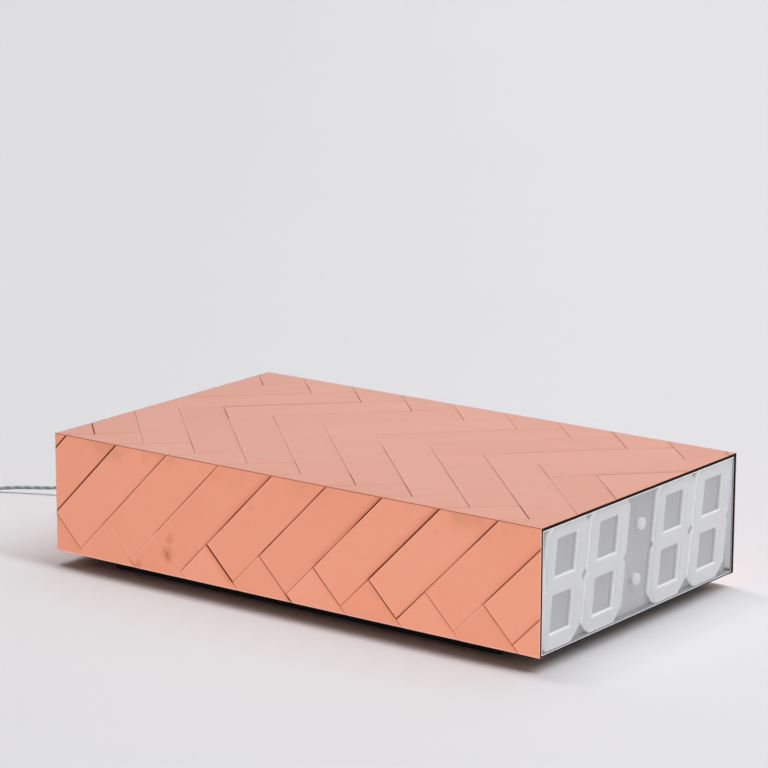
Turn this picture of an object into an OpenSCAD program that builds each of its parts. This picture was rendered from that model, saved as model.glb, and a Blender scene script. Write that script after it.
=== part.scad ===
// Floor clock: a low plywood box clad in folded copper shingles, with a four digit display at one end.
// Millimetres. +Z is up, the display faces -Y, and the origin is on the floor under the middle of the box.

/* [Body] */
// Length of the clad body, from the display face to the rear face
body_l = 1000; // [800:1:1300]
// Width of the clad body
body_w = 585; // [500:1:700]
// Height of the clad body
body_h = 209; // [180:1:260]
// Thickness of the carcass boards
board_t = 12; // [9:1:18]
// Side of the square battens that carry the base
batten_w = 20; // [15:1:30]
// Clearance round the removable base
base_clear = 0.3; // [0.2:0.1:1]
// Diameter of the wire holes in the inner boards
wire_hole_d = 30; // [20:1:34]

/* [Copper shingles] */
// Width of a shingle
shingle_w = 79; // [60:1:110]
// Length of a shingle
shingle_l = 325; // [250:1:400]
// Thickness of the copper sheet
shingle_t = 0.8; // [0.5:0.1:1.2]
// Open seam between neighbouring shingles
seam = 1.2; // [1:0.1:2.5]
// Depth of the hem that is folded under the carcass
hem = 12; // [6:1:20]
// Where the pattern starts along the body, from the rear edge
pattern_u = -113; // [-200:1:0]
// Where the pattern starts down the near side, from the top edge
pattern_v = 140; // [0:1:200]

/* [Plinth] */
// Height of the body above the floor
plinth_h = 24; // [18:1:50]
// Thickness of the plinth rails
rail_t = 18; // [15:1:30]
// Set-back of the plinth from the long sides
plinth_side_set = 38; // [25:1:90]
// Set-back of the plinth from the display face and the rear
plinth_end_set = 100; // [40:1:160]
// Thickness of the foot pads
pad_t = 2; // [2:0.5:6]
// Diameter of the foot pads
pad_d = 16; // [12:1:18]
// Distance of the end pads from the ends of the rails
pad_inset = 40; // [20:1:80]

/* [Display] */
// Thickness of the clear front pane
pane_t = 3; // [2:0.5:6]
// Set-back of the pane from the copper edge
pane_recess = 0.5; // [0.3:0.1:2]
// Bevel round the front of the pane
pane_bevel = 1.8; // [0.5:0.1:1.9]
// Black joint between the copper and the pane at the sides
joint_w = 4.4; // [1.5:0.1:5]
// Black joint between the copper and the pane at the top
joint_top = 4.6; // [1.5:0.1:6]
// Black joint between the copper and the pane at the bottom
joint_low = 1.4; // [1:0.1:5]
// Set-back of the joint filler from the copper edge
joint_recess = 0.5; // [0.5:0.1:2]
// Thickness of the rim strips behind the joint
rim_t = 3.5; // [2:0.1:6]
// Thickness of the grey panel behind the digits
panel_t = 4; // [3:0.5:8]
// Clearance between the digits and the pane
digit_clear = 0.3; // [0.1:0.1:2]

/* [Digits] */
// Depth of a digit from its face to the panel
digit_depth = 11; // [8:0.5:18]
// Width of a digit's upright and end strokes
stroke = 24; // [18:1:30]
// Height of a digit's middle stroke
mid_stroke = 26; // [20:1:32]
// Lean of the digits in degrees
slant = 8; // [0:0.5:12]
// Bevel on a digit's top corners
top_bevel = 16; // [8:1:20]
// Bevel on a digit's bottom corners
bottom_bevel = 22; // [8:1:24]
// Depth of the notch in a digit's waist
notch_depth = 7.5; // [3:0.5:10]
// Half the height of the notch in a digit's waist
notch_half = 9; // [4:0.5:12]
// Clearance of the digits above and below, inside the rim
digit_margin_z = 0.2; // [0.1:0.1:10]
// Clearance of the row of digits at each side, inside the rim
digit_margin_x = 1.1; // [0.5:0.1:20]
// Gap between the two digits of a pair
digit_gap = 10; // [2:0.5:20]
// Space between the pairs, where the colon stands
colon_space = 85.5; // [60:0.5:120]
// Diameter of the colon dots
colon_d = 20; // [12:1:30]
// Height of the colon dots above and below the middle
colon_rise = 45; // [25:1:60]
// Thickness of a digit's translucent face
face_t = 3; // [2:0.5:4]
// Wall round a digit and between its segments
digit_wall = 2.5; // [1.5:0.5:4]
// Thickness of the circuit boards
pcb_t = 1.6; // [1:0.2:2.4]
// Clearance round a board in the back of its digit
pcb_clear = 0.2; // [0.1:0.1:1]
// Side of a light-emitting chip
led_w = 5; // [2:0.5:6]
// Height of a light-emitting chip
led_h = 1.6; // [0.8:0.2:2.4]

/* [Electronics] */
// Width of the power supply
supply_w = 80; // [60:1:110]
// Length of the power supply
supply_l = 110; // [80:1:160]
// Height of the power supply
supply_h = 38; // [32:1:50]
// Distance from the power supply to the rear board
supply_gap = 60; // [20:1:120]
// Width of the control board
control_w = 100; // [70:1:140]
// Length of the control board
control_l = 70; // [50:1:100]
// Distance from the control board to the rear board
control_gap = 90; // [60:1:140]
// Height of the standoffs under the control board
standoff_h = 8; // [5:1:15]
// Diameter of the standoffs
standoff_d = 7; // [5:0.5:10]
// Side of the square end of a wire plug
header_w = 11; // [9:1:16]
// Length of a wire plug
header_l = 12; // [8:1:18]
// Diameter of a wire loom
loom_d = 7; // [4:0.5:8]

/* [Setting buttons] */
// Diameter of a button cap
button_d = 12; // [8:0.5:16]
// Distance between neighbouring buttons
button_pitch = 30; // [26:1:45]
// Position of the middle button across the rear
button_x = -60; // [-120:1:-40]
// Height of the buttons and of the cord above the underside of the body
button_rise = 38; // [34:1:60]
// Travel of a button
button_travel = 1.5; // [0.5:0.1:2]
// Clearance between a button and its guide, all round
button_clear = 0.2; // [0.1:0.05:0.5]
// Wall of a button's guide
guide_wall = 2; // [1.5:0.5:4]
// Width and thickness of a guide's flange
guide_flange = 3; // [2:0.5:4]
// Length of a button's stem
stem_l = 6; // [3:0.5:12]
// Diameter of a button's stem
stem_d = 5; // [4:0.5:7]
// Diameter of the pin at the end of a stem
pin_d = 3.4; // [2:0.2:3.8]
// Side of a switch's case
switch_w = 12; // [10:0.5:14]
// Height of a switch's case
switch_h = 7.3; // [6.5:0.1:10]
// Height of the button board
button_board_h = 30; // [24:1:36]

/* [Cord] */
// Diameter of the cord
cord_d = 6.5; // [5:0.1:6.8]
// Distance of the cord from the middle of the rear
cord_x = 90; // [70:1:110]
// Diameter of the gland's neck through the rear
gland_neck_d = 14; // [12:0.5:18]
// Diameter of the gland's flange
gland_flange_d = 22; // [20:0.5:30]
// Thickness of the gland's flange and of its nut
gland_flange_t = 3; // [2:0.5:5]
// Length of the gland's tapered boot
boot_l = 36; // [25:1:45]
// Diameter of the boot at its tip
boot_tip_d = 9; // [7.5:0.5:11]
// Clearance round the gland's neck
gland_clear = 0.2; // [0.1:0.1:1]
// Distance between the turns of the coil
turn_pitch = 7.1; // [7:0.1:8]
// Radius of the coil's outer turn
coil_r = 46; // [44:1:48]
// Width of the tie round the coil
tie_w = 10; // [6:1:16]
// Thickness of the tie
tie_t = 0.9; // [0.6:0.1:1]
// Clearance between the tie and the coil
tie_clear = 0.4; // [0.3:0.1:1]
// Width of the plug
plug_w = 35.3; // [30:0.1:38]
// Thickness of the plug
plug_t = 13.8; // [12:0.1:14]
// Length of the plug's body
plug_l = 37; // [30:1:45]
// Diameter of the plug's pins
prong_d = 4; // [3.8:0.1:4.8]
// Length of the plug's pins
prong_l = 19; // [17:0.5:20]
// Distance between the plug's pins
prong_pitch = 18.6; // [17:0.1:19]

/* [Hidden] */
$fn = 48;
eps = 0.5;

// Levels and planes of the body
half_w = body_w / 2;
y_front = -body_l / 2;
y_rear = body_l / 2;
z_under = plinth_h;
z_top = plinth_h + body_h;
z_mid = plinth_h + body_h / 2;

// Carcass inside the copper
carcass_half = half_w - shingle_t;
carcass_z0 = z_under + shingle_t;
carcass_z1 = z_top - shingle_t;
carcass_rear = y_rear - shingle_t;
inner_half = carcass_half - board_t;
inner_top = carcass_z1 - board_t;
inner_rear = carcass_rear - board_t;
floor_z = carcass_z0 + board_t;

// Planes of the display, from the pane backwards
pane_y = y_front + pane_recess;
pane_back = pane_y + pane_t;
digit_y = pane_back + digit_clear;
panel_y = digit_y + digit_depth;
carcass_front = panel_y + panel_t;
inner_front = carcass_front + board_t;
butt_gap = 0.2;

// Opening inside the rim, and the digits that fill it
open_w = 2 * (carcass_half - rim_t);
open_h = carcass_z1 - carcass_z0 - 2 * rim_t;
digit_h = open_h - 2 * digit_margin_z;
lean = tan(slant);
lean_reach = (digit_h - top_bevel - bottom_bevel) * lean;
digit_w = (open_w - 2 * digit_margin_x - lean_reach - colon_space - 2 * digit_gap) / 4;
inner_digit_x = colon_space / 2 + digit_w / 2;
outer_digit_x = inner_digit_x + digit_w + digit_gap;
row_shift = (bottom_bevel - top_bevel) / 2 * lean;
digit_x = [for (x = [-outer_digit_x, -inner_digit_x, inner_digit_x, outer_digit_x]) x + row_shift];

// Unfolded lattice of the shingles: u runs from the rear edge to the display, v down the near side
lay_l = carcass_rear - y_front;
lay_w = 2 * carcass_half;
step = shingle_w * sqrt(2);
reach = shingle_l * sqrt(2);
alpha_0 = pattern_u + pattern_v;
beta_0 = pattern_u - pattern_v;
first_plank = floor((-body_h - hem - (step + reach) / 2 - pattern_u) / step);
last_plank = ceil((lay_l - pattern_u) / step);
least_area = 40;

// Heights and places on the rear wall and on the base
cord_z = carcass_z0 + button_rise;
guide_d = button_d + 2 * button_clear + 2 * guide_wall;
guide_clear = 0.2;
post_clear = 1;
loom_z = floor_z + standoff_h + pcb_t + header_w / 2;
supply_rear = inner_rear - supply_gap;
control_rear = inner_rear - control_gap;
control_z = floor_z + standoff_h;
rest_gap = 0.15;
collar_t = 1.5;
end_gap = 0.4;
pin_depth = 2;
collar_y = inner_rear - guide_flange - rest_gap;
shoulder_y = collar_y - collar_t - stem_l;
switch_y = shoulder_y - button_travel - end_gap;
button_pcb_y = switch_y - switch_h;
pin_floor = switch_y - pin_depth - button_travel - end_gap;
button_xs = [for (k = [-1, 0, 1]) button_x + k * button_pitch];
button_post_x = button_pitch + guide_d / 2 + guide_flange + standoff_d / 2 + post_clear;
button_board_w = 2 * button_post_x + 2 * standoff_d;

// Route of the cord from the gland's tip to the coil, chosen by hand
gland_tip = y_rear + gland_flange_t + boot_l;
cord_route = [[90, 560, 62], [90, 580, 61], [89, 600, 59], [87, 620, 56], [85, 640, 52], [83, 660, 47],
    [79, 680, 42], [75, 700, 37], [70, 720, 32], [65, 740, 27], [59, 760, 22], [52, 780, 18], [45, 800, 15],
    [37, 820, 13], [28, 840, 12], [19, 860, 11], [9, 880, 10], [-2, 900, 8], [-13, 920, 6], [-25, 940, 4.6],
    [-37, 960, 4.6]];
cord_start = [[cord_x, gland_tip, cord_z], [cord_x, gland_tip + cord_d, cord_z]];
cord_points = concat(cord_start, cord_route);

// Coil at the end of the route: it spirals in on the floor, climbs, and spirals out on top
route_end = cord_route[len(cord_route) - 1];
cord_dir = unit(route_end - cord_route[len(cord_route) - 2]);
coil_centre = route_end + coil_r * [cord_dir.y, -cord_dir.x, 0];
coil_phase = atan2(-cord_dir.x, cord_dir.y) + 180;
turns_in = 2.25;
turns_back = 0.5;
turns_all = 2 * turns_in + turns_back;
tie_angle = 60;
rings_a_turn = 24;
coil_turns = [for (i = [0 : turns_all * rings_a_turn]) i / rings_a_turn];
coil_loops = [for (t = coil_turns) coil_centre + coil_point(t)];
coil_exit = coil_loops[len(coil_loops) - 1];
lead = cord_d * cord_dir;
coil_points = concat([route_end], [for (p = coil_loops) p + lead], [coil_exit + 2 * lead]);
coil_gap = min([for (i = [0 : len(coil_loops) - 1]) for (j = [i + rings_a_turn / 2 : len(coil_loops) - 1])
    norm(coil_loops[i] - coil_loops[j]) - cord_d]);

// Tail from the coil to the plug: distance along the tail, and height
plug_z = plug_t / 2;
tail_drop = [[0, 0], [14, 0], [28, 0.3], [42, 0.75], [54, 1], [64, 1]];
tail_start = coil_points[len(coil_points) - 1];
tail_points = [for (d = tail_drop) tail_start + d[0] * cord_dir + [0, 0, d[1] * (plug_z - tail_start.z)]];
plug_start = tail_points[len(tail_points) - 1];

// Colours
copper = [0.85, 0.55, 0.45];
ply = [0.80, 0.66, 0.45];
black = [0.06, 0.06, 0.06];
grey = [0.70, 0.70, 0.71];
white = [0.93, 0.93, 0.94];
board_green = [0.10, 0.35, 0.20];

function unit(v) = v / norm(v);
function sum(a, i = 0) = i < len(a) ? a[i] + sum(a, i + 1) : 0;
function area(p) = len(p) < 3 ? 0
    : abs(sum([for (i = [0 : len(p) - 1]) let (b = p[(i + 1) % len(p)]) p[i].x * b.y - b.x * p[i].y])) / 2;

// Part of a convex outline on the inner side of a line
function clip(p, n, d) = len(p) < 3 ? [] : [for (i = [0 : len(p) - 1])
    let (a = p[i], b = p[(i + 1) % len(p)], sa = n * a - d, sb = n * b - d)
    each concat(sa <= 0 ? [a] : [], sa * sb < 0 ? [a + (b - a) * sa / (sa - sb)] : [])];
function clip_box(p, u0, u1, v0, v1) =
    clip(clip(clip(clip(p, [1, 0], u1), [-1, 0], -u0), [0, 1], v1), [0, -1], -v0);

// Outline of one shingle on the lattice: even courses lean one way, odd courses the other
function shingle_box(course, i) = let (n = floor(course / 2)) course % 2 == 0
    ? [alpha_0 - n * reach + step * i, step, beta_0 + n * reach + step * i, reach]
    : [alpha_0 - n * reach + step * (i + 1) - reach, reach, beta_0 + (n + 1) * reach + step * i, step];
function shingle_outline(course, i) = let (b = shingle_box(course, i), e = seam / sqrt(2),
    a0 = b[0] + e, a1 = b[0] + b[1] - e, b0 = b[2] + e, b1 = b[2] + b[3] - e)
    [for (c = [[a0, b0], [a1, b0], [a1, b1], [a0, b1]]) [(c[0] + c[1]) / 2, (c[0] - c[1]) / 2]];

// Radius and height of the coil after t turns
function coil_radius(t) = coil_r - turn_pitch * min(t, turns_all - t);
function coil_climb(t) = turn_pitch * min(1, max(0, (t - turns_in) / turns_back));
function coil_point(t) = let (a = coil_phase - 360 * t)
    [coil_radius(t) * cos(a), coil_radius(t) * sin(a), coil_climb(t)];

// Outline of a digit, drawn in by d, leaning about its middle
function lean_over(p) = [for (q = p) [q.x + q.y * lean, q.y]];
function digit_half(d) = let (w = digit_w / 2 - d, h = digit_h / 2 - d, cut = d * (2 - sqrt(2)),
    deep = notch_depth + d * norm([notch_half, notch_depth]) / notch_half - d,
    tall = deep * notch_half / notch_depth, ct = top_bevel - cut, cb = bottom_bevel - cut)
    [[w - ct, h], [w, h - ct], [w, tall], [w - deep, 0], [w, -tall], [w, cb - h], [w - cb, -h]];
function digit_outline(d) = let (half = digit_half(d))
    lean_over(concat(half, [for (i = [len(half) - 1 : -1 : 0]) [-half[i].x, half[i].y]]));
counter_w = digit_w - 2 * stroke;
counter_h = (digit_h - 2 * stroke - mid_stroke) / 2;
function counter(side, d) = let (z = side * (mid_stroke + counter_h) / 2, w = counter_w / 2 + d,
    h = counter_h / 2 + d) lean_over([[-w, z - h], [w, z - h], [w, z + h], [-w, z + h]]);

// Centre lines of the seven segments, and the pocket behind each
upright_x = (digit_w - stroke) / 2;
end_z = (digit_h - stroke) / 2;
segments = concat([for (z = [-end_z, 0, end_z]) [[-upright_x, z], [upright_x, z]]],
    [for (x = [-upright_x, upright_x]) for (s = [-1, 1]) [[x, 0], [x, s * end_z]]]);
function pocket(s) = let (along = unit(s[1] - s[0]), across = [-along.y, along.x],
    a = s[0] + digit_wall * along, b = s[1] - digit_wall * along, r = stroke / 2 - digit_wall)
    lean_over([a, a + r * (along + across), b + r * (across - along), b,
        b - r * (along + across), a + r * (along - across)]);

// A round tube swept along points, with square ends
function tangent(p, i) = unit(p[min(i + 1, len(p) - 1)] - p[max(i - 1, 0)]);
module tube(p, d, sides) {
    n = len(p);
    rings = [for (i = [0 : n - 1]) let (t = tangent(p, i), x = unit(cross(t, [0, 0, 1])), y = cross(x, t))
        for (k = [0 : sides - 1]) let (a = 360 * k / sides) p[i] + d / 2 * (cos(a) * x + sin(a) * y)];
    walls = [for (i = [0 : n - 2]) for (k = [0 : sides - 1])
        let (a = i * sides + k, b = i * sides + (k + 1) % sides)
        each [[a, b, b + sides], [a, b + sides, a + sides]]];
    last = (n - 1) * sides;
    caps = [for (k = [1 : sides - 2]) each [[0, k + 1, k], [last, last + k, last + k + 1]]];
    polyhedron(rings, concat(walls, caps));
}

// A box between two corners
module block(low, high) {
    translate(low) cube(high - low);
}

// A bar or a hole along Y between two planes, and a bar along X
module rod_y(x, z, d, y0, y1) {
    translate([x, y1, z]) rotate([90, 0, 0]) cylinder(d = d, h = y1 - y0);
}
module rod_x(y, z, d, x0, x1) {
    translate([x0, y, z]) rotate([0, 90, 0]) cylinder(d = d, h = x1 - x0);
}

// A flat outline in X and Z made solid from y0 to y1
module slab(points, y0, y1) {
    translate([0, y1, 0]) rotate([90, 0, 0]) linear_extrude(y1 - y0) polygon(points);
}

// Holes through the copper and the rear board for the gland and the button guides
module rear_holes() {
    rod_y(cord_x, cord_z, gland_neck_d + 2 * gland_clear, inner_rear - eps, y_rear + eps);
    for (x = button_xs)
        rod_y(x, cord_z, guide_d + 2 * guide_clear, inner_rear - eps, y_rear + eps);
}

// Carcass boards
module top_board() {
    color(ply) block([-carcass_half, carcass_front, inner_top], [carcass_half, carcass_rear, carcass_z1]);
}
module side_board(side) {
    color(ply) translate([side * (carcass_half - board_t / 2) - board_t / 2, carcass_front, carcass_z0])
        cube([board_t, carcass_rear - carcass_front, inner_top - carcass_z0]);
}
module side_board_left() { side_board(-1); }
module side_board_right() { side_board(1); }
module rear_board() {
    color(ply) difference() {
        block([-inner_half, inner_rear, carcass_z0], [inner_half, carcass_rear, inner_top]);
        rear_holes();
    }
}
module base_board() {
    color(black) block([base_clear - inner_half, inner_front + base_clear, carcass_z0],
        [inner_half - base_clear, inner_rear - base_clear, floor_z]);
}
module display_bulkhead() {
    color(ply) difference() {
        block([-inner_half, carcass_front, carcass_z0], [inner_half, inner_front, inner_top]);
        for (x = concat(digit_x, [0]))
            rod_y(x, z_mid, wire_hole_d, carcass_front - eps, inner_front + eps);
    }
}
module centre_rib() {
    color(ply) difference() {
        block([-inner_half, -board_t / 2, floor_z], [inner_half, board_t / 2, inner_top]);
        batten(-1);
        batten(1);
        block([button_x - wire_hole_d / 2, -board_t, floor_z - eps],
            [button_x + wire_hole_d / 2, board_t, floor_z + wire_hole_d]);
    }
}
module batten(side) {
    translate([side * (inner_half - batten_w / 2) - batten_w / 2, inner_front, floor_z])
        cube([batten_w, inner_rear - inner_front, batten_w]);
}
module base_battens() {
    color(ply) {
        batten(-1);
        batten(1);
    }
}

// One shingle: its parts on each face of the box, joined along the folds
module plate_flat(p, z) {
    if (area(p) > least_area)
        translate([0, 0, z]) linear_extrude(shingle_t) polygon(p);
}
module plate_side(p, x) {
    if (area(p) > least_area)
        translate([x, 0, 0]) rotate([90, 0, 90]) linear_extrude(shingle_t) polygon(p);
}
module shingle(p) {
    y0 = carcass_rear;
    top = clip_box(p, 0, lay_l, -lay_w, 0);
    near = clip_box(p, -shingle_t, lay_l, 0, body_h);
    far = clip_box(p, -shingle_t, lay_l, -lay_w - body_h, -lay_w);
    rear = clip_box(p, -body_h, 0, seam - lay_w, -seam);
    near_hem = clip_box(p, 0, lay_l, body_h, body_h + hem);
    far_hem = clip_box(p, 0, lay_l, -lay_w - body_h - hem, -lay_w - body_h);
    rear_hem = clip_box(p, -body_h - hem, -body_h, hem + seam - lay_w, -hem - seam);
    union() {
        plate_flat([for (q = top) [-carcass_half - q.y, y0 - q.x]], carcass_z1);
        plate_side([for (q = near) [y0 - q.x, z_top - q.y]], -half_w);
        plate_side([for (q = far) [y0 - q.x, z_top + lay_w + q.y]], carcass_half);
        if (area(rear) > least_area)
            slab([for (q = rear) [-carcass_half - q.y, z_top + q.x]], carcass_rear, y_rear);
        plate_flat([for (q = near_hem) [-carcass_half + q.y - body_h, y0 - q.x]], z_under);
        plate_flat([for (q = far_hem) [carcass_half + q.y + lay_w + body_h, y0 - q.x]], z_under);
        plate_flat([for (q = rear_hem) [-carcass_half - q.y, y0 + q.x + body_h]], z_under);
    }
}
module course(first, last) {
    color(copper) difference() {
        for (c = [first : last]) for (i = [first_plank : last_plank])
            shingle(shingle_outline(c, i));
        rear_holes();
    }
}
module shingles_near_lower() { course(-3, -1); }
module shingles_near_fold() { course(0, 0); }
module shingles_top_near() { course(1, 1); }
module shingles_top_far() { course(2, 2); }
module shingles_far_fold() { course(3, 3); }
module shingles_far_lower() { course(4, 6); }

// Plinth
rail_x = half_w - plinth_side_set - rail_t / 2;
rail_half_l = body_l / 2 - plinth_end_set;
module plinth_side_rails() {
    color(black) for (s = [-1, 1])
        translate([s * rail_x - rail_t / 2, -rail_half_l, pad_t])
            cube([rail_t, 2 * rail_half_l, carcass_z0 - pad_t]);
}
module plinth_end_rails() {
    color(black) for (s = [-1, 1])
        translate([rail_t / 2 - rail_x, s * (rail_half_l - rail_t / 2) - rail_t / 2, pad_t])
            cube([2 * rail_x - rail_t, rail_t, carcass_z0 - pad_t]);
}
module foot_pads() {
    color(black) for (x = [-rail_x, rail_x]) for (k = [-1, 0, 1])
        translate([x, k * (rail_half_l - pad_inset), 0]) cylinder(d = pad_d, h = pad_t);
}

// Display, with four strips butted round an opening
module ring(half_x, z0, z1, side, bottom, top, y0, y1) {
    block([-half_x, y0, z0], [half_x, y1, z0 + bottom]);
    block([-half_x, y0, z1 - top], [half_x, y1, z1]);
    for (x = [-half_x, half_x - side])
        block([x, y0, z0 + bottom + butt_gap], [x + side, y1, z1 - top - butt_gap]);
}
module display_panel() {
    color(grey) difference() {
        block([-carcass_half, panel_y, carcass_z0], [carcass_half, carcass_front, carcass_z1]);
        for (x = digit_x)
            rod_y(x, z_mid, loom_d, panel_y - eps, carcass_front + eps);
    }
}
module display_rim() {
    color(grey) ring(carcass_half, carcass_z0, carcass_z1, rim_t, rim_t, rim_t, pane_back, panel_y);
}
module pane_gasket() {
    color(black) ring(carcass_half, carcass_z0, carcass_z1, joint_w, joint_low, joint_top,
        y_front + joint_recess, pane_back);
}
function bevelled(a, b) = [[a + pane_bevel, pane_y], [b - pane_bevel, pane_y], [b, pane_y + pane_bevel],
    [b, pane_back], [a, pane_back], [a, pane_y + pane_bevel]];
module front_pane() {
    half = carcass_half - joint_w;
    low = carcass_z0 + joint_low;
    high = carcass_z1 - joint_top;
    color([0.85, 0.88, 0.90, 0.35]) intersection() {
        translate([0, 0, low]) linear_extrude(high - low) polygon(bevelled(-half, half));
        translate([-half, 0, 0]) rotate([90, 0, 90]) linear_extrude(2 * half)
            polygon([for (p = bevelled(low, high)) [p.y, p.x]]);
    }
}

// A digit is a moulded shell, open at the back, with a pocket for each of its seven segments
module digit(k) {
    color(white) translate([digit_x[k], 0, z_mid]) difference() {
        slab(digit_outline(0), digit_y, panel_y);
        for (s = [-1, 1]) slab(counter(s, 0), digit_y - eps, panel_y + eps);
        for (s = segments) slab(pocket(s), digit_y + face_t, panel_y + eps);
        difference() {
            slab(digit_outline(digit_wall), panel_y - pcb_t - pcb_clear, panel_y + eps);
            for (s = [-1, 1]) slab(counter(s, digit_wall), panel_y - 2 * pcb_t, panel_y + 2 * eps);
        }
    }
}
module digit_1() { digit(0); }
module digit_2() { digit(1); }
module digit_3() { digit(2); }
module digit_4() { digit(3); }
module led(p, y) {
    translate([p.x - led_w / 2, y - led_h, p.y - led_w / 2]) cube([led_w, led_h, led_w]);
}
module digit_board(k) {
    inset = digit_wall + pcb_clear;
    board_y = panel_y - pcb_t;
    color(board_green) translate([digit_x[k], 0, z_mid]) union() {
        difference() {
            slab(digit_outline(inset), board_y, panel_y);
            for (s = [-1, 1]) slab(counter(s, inset), board_y - eps, panel_y + eps);
        }
        for (s = segments) for (f = [0.35, 0.65])
            led(lean_over([s[0] + f * (s[1] - s[0])])[0], board_y);
    }
}
module digit_board_1() { digit_board(0); }
module digit_board_2() { digit_board(1); }
module digit_board_3() { digit_board(2); }
module digit_board_4() { digit_board(3); }
function colon_spot(s) = [s * colon_rise * lean, z_mid + s * colon_rise];
module colon_dots() {
    color(white) for (spot = [colon_spot(-1), colon_spot(1)]) difference() {
        rod_y(spot.x, spot.y, colon_d, digit_y, panel_y);
        rod_y(spot.x, spot.y, colon_d - 2 * digit_wall, digit_y + face_t, panel_y + eps);
    }
}
module colon_boards() {
    color(board_green) for (spot = [colon_spot(-1), colon_spot(1)]) union() {
        rod_y(spot.x, spot.y, colon_d - 2 * (digit_wall + pcb_clear), panel_y - pcb_t, panel_y);
        led(spot, panel_y - pcb_t);
    }
}

// Electronics on the base
module header(x, y, z) {
    translate([x - header_w / 2, y, z - header_w / 2]) cube([header_w, header_l, header_w]);
}
module power_supply() {
    color("silver") block([cord_x - supply_w / 2, supply_rear - supply_l, floor_z],
        [cord_x + supply_w / 2, supply_rear, floor_z + supply_h]);
}
module control_board() {
    color(board_green) block([button_x - control_w / 2, control_rear - control_l, control_z],
        [button_x + control_w / 2, control_rear, control_z + pcb_t]);
}
control_y = control_rear - control_l / 2;
module control_parts() {
    top = control_z + pcb_t;
    chip = control_w / 5;
    color(black) {
        header(button_x, control_rear - control_l, loom_z);
        header(button_x, control_rear - header_l, loom_z);
        block([button_x + control_w / 2 - header_l, control_y - header_w / 2, top],
            [button_x + control_w / 2, control_y + header_w / 2, top + header_w]);
        block([button_x - chip, control_y - chip / 2, top], [button_x, control_y + chip / 2, top + led_h]);
    }
}
module board_standoffs() {
    post_x = control_w / 2 - standoff_d;
    post_y = control_l / 2 - standoff_d;
    color("silver") for (x = [-post_x, post_x]) for (y = [-post_y, post_y])
        translate([button_x + x, control_y + y, floor_z]) cylinder(d = standoff_d, h = standoff_h);
}
module display_header() {
    color(black) header(button_x, inner_front, loom_z);
}
module display_loom() {
    color(black) rod_y(button_x, loom_z, loom_d, inner_front + header_l, control_rear - control_l);
}
module supply_lead() {
    color(black) rod_x(control_y, loom_z, loom_d, button_x + control_w / 2, cord_x - supply_w / 2);
}
module button_loom() {
    color(black) rod_y(button_x, loom_z, loom_d, control_rear, button_pcb_y - pcb_t);
}
module mains_lead() {
    color(black) rod_y(cord_x, cord_z, cord_d, supply_rear, inner_rear - gland_flange_t);
}

// Setting buttons in the rear wall
module button_guides() {
    color(black) for (x = button_xs) difference() {
        union() {
            rod_y(x, cord_z, guide_d, inner_rear, y_rear);
            rod_y(x, cord_z, guide_d + 2 * guide_flange, inner_rear - guide_flange, inner_rear);
        }
        rod_y(x, cord_z, button_d + 2 * button_clear, inner_rear - 2 * guide_flange, y_rear + eps);
    }
}
module button(k) {
    x = button_xs[k];
    color(black) union() {
        rod_y(x, cord_z, button_d, collar_y, y_rear);
        rod_y(x, cord_z, guide_d, collar_y - collar_t, collar_y);
        rod_y(x, cord_z, stem_d, shoulder_y, collar_y - collar_t);
        rod_y(x, cord_z, pin_d, switch_y - pin_depth, shoulder_y);
    }
}
module set_button() { button(0); }
module hour_button() { button(1); }
module minute_button() { button(2); }
module button_board() {
    color(board_green)
        translate([button_x - button_board_w / 2, button_pcb_y - pcb_t, cord_z - button_board_h / 2])
            cube([button_board_w, pcb_t, button_board_h]);
}
module button_switches() {
    color("dimgray") for (x = button_xs) difference() {
        translate([x - switch_w / 2, button_pcb_y, cord_z - switch_w / 2])
            cube([switch_w, switch_h, switch_w]);
        rod_y(x, cord_z, pin_d + 2 * button_clear, pin_floor, switch_y + eps);
    }
}
module button_standoffs() {
    color("silver") for (s = [-1, 1])
        rod_y(button_x + s * button_post_x, cord_z, standoff_d, button_pcb_y, inner_rear);
}

// Cord, from the gland to the plug
module cord_gland() {
    neck_r = gland_neck_d / 2;
    flange_r = gland_flange_d / 2;
    wall = y_rear - inner_rear;
    tip = gland_tip - inner_rear;
    color(black) translate([cord_x, inner_rear, cord_z]) rotate([-90, 0, 0]) rotate_extrude()
        polygon([[0, 0], [neck_r, 0], [neck_r, wall], [flange_r, wall], [flange_r, wall + gland_flange_t],
            [neck_r, wall + gland_flange_t], [boot_tip_d / 2, tip], [0, tip]]);
}
module gland_nut() {
    color(black) rod_y(cord_x, cord_z, gland_flange_d, inner_rear - gland_flange_t, inner_rear);
}
module cord() {
    color([0.45, 0.65, 0.62]) tube(cord_points, cord_d, 10);
}
module cord_coil() {
    color([0.45, 0.65, 0.62]) tube(coil_points, cord_d, 6);
}
module cord_tail() {
    color([0.45, 0.65, 0.62]) tube(tail_points, cord_d, 8);
}
module coil_tie() {
    r0 = coil_radius(turns_all / 2) - cord_d / 2 - 2 * tie_clear;
    r1 = coil_r + cord_d / 2 + tie_clear;
    z0 = route_end.z - cord_d / 2 - tie_clear;
    z1 = route_end.z + turn_pitch + cord_d / 2 + tie_clear;
    color(black) translate([coil_centre.x + lead.x, coil_centre.y + lead.y, 0])
        rotate(coil_phase - tie_angle) difference() {
            block([r0 - tie_t, -tie_w / 2, z0 - tie_t], [r1 + tie_t, tie_w / 2, z1 + tie_t]);
            block([r0, -tie_w, z0], [r1, tie_w, z1]);
        }
}
module at_plug() {
    translate([plug_start.x, plug_start.y, plug_start.z]) rotate(atan2(cord_dir.y, cord_dir.x)) children();
}
neck_half = 5.5;
flank_l = 15;
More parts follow.
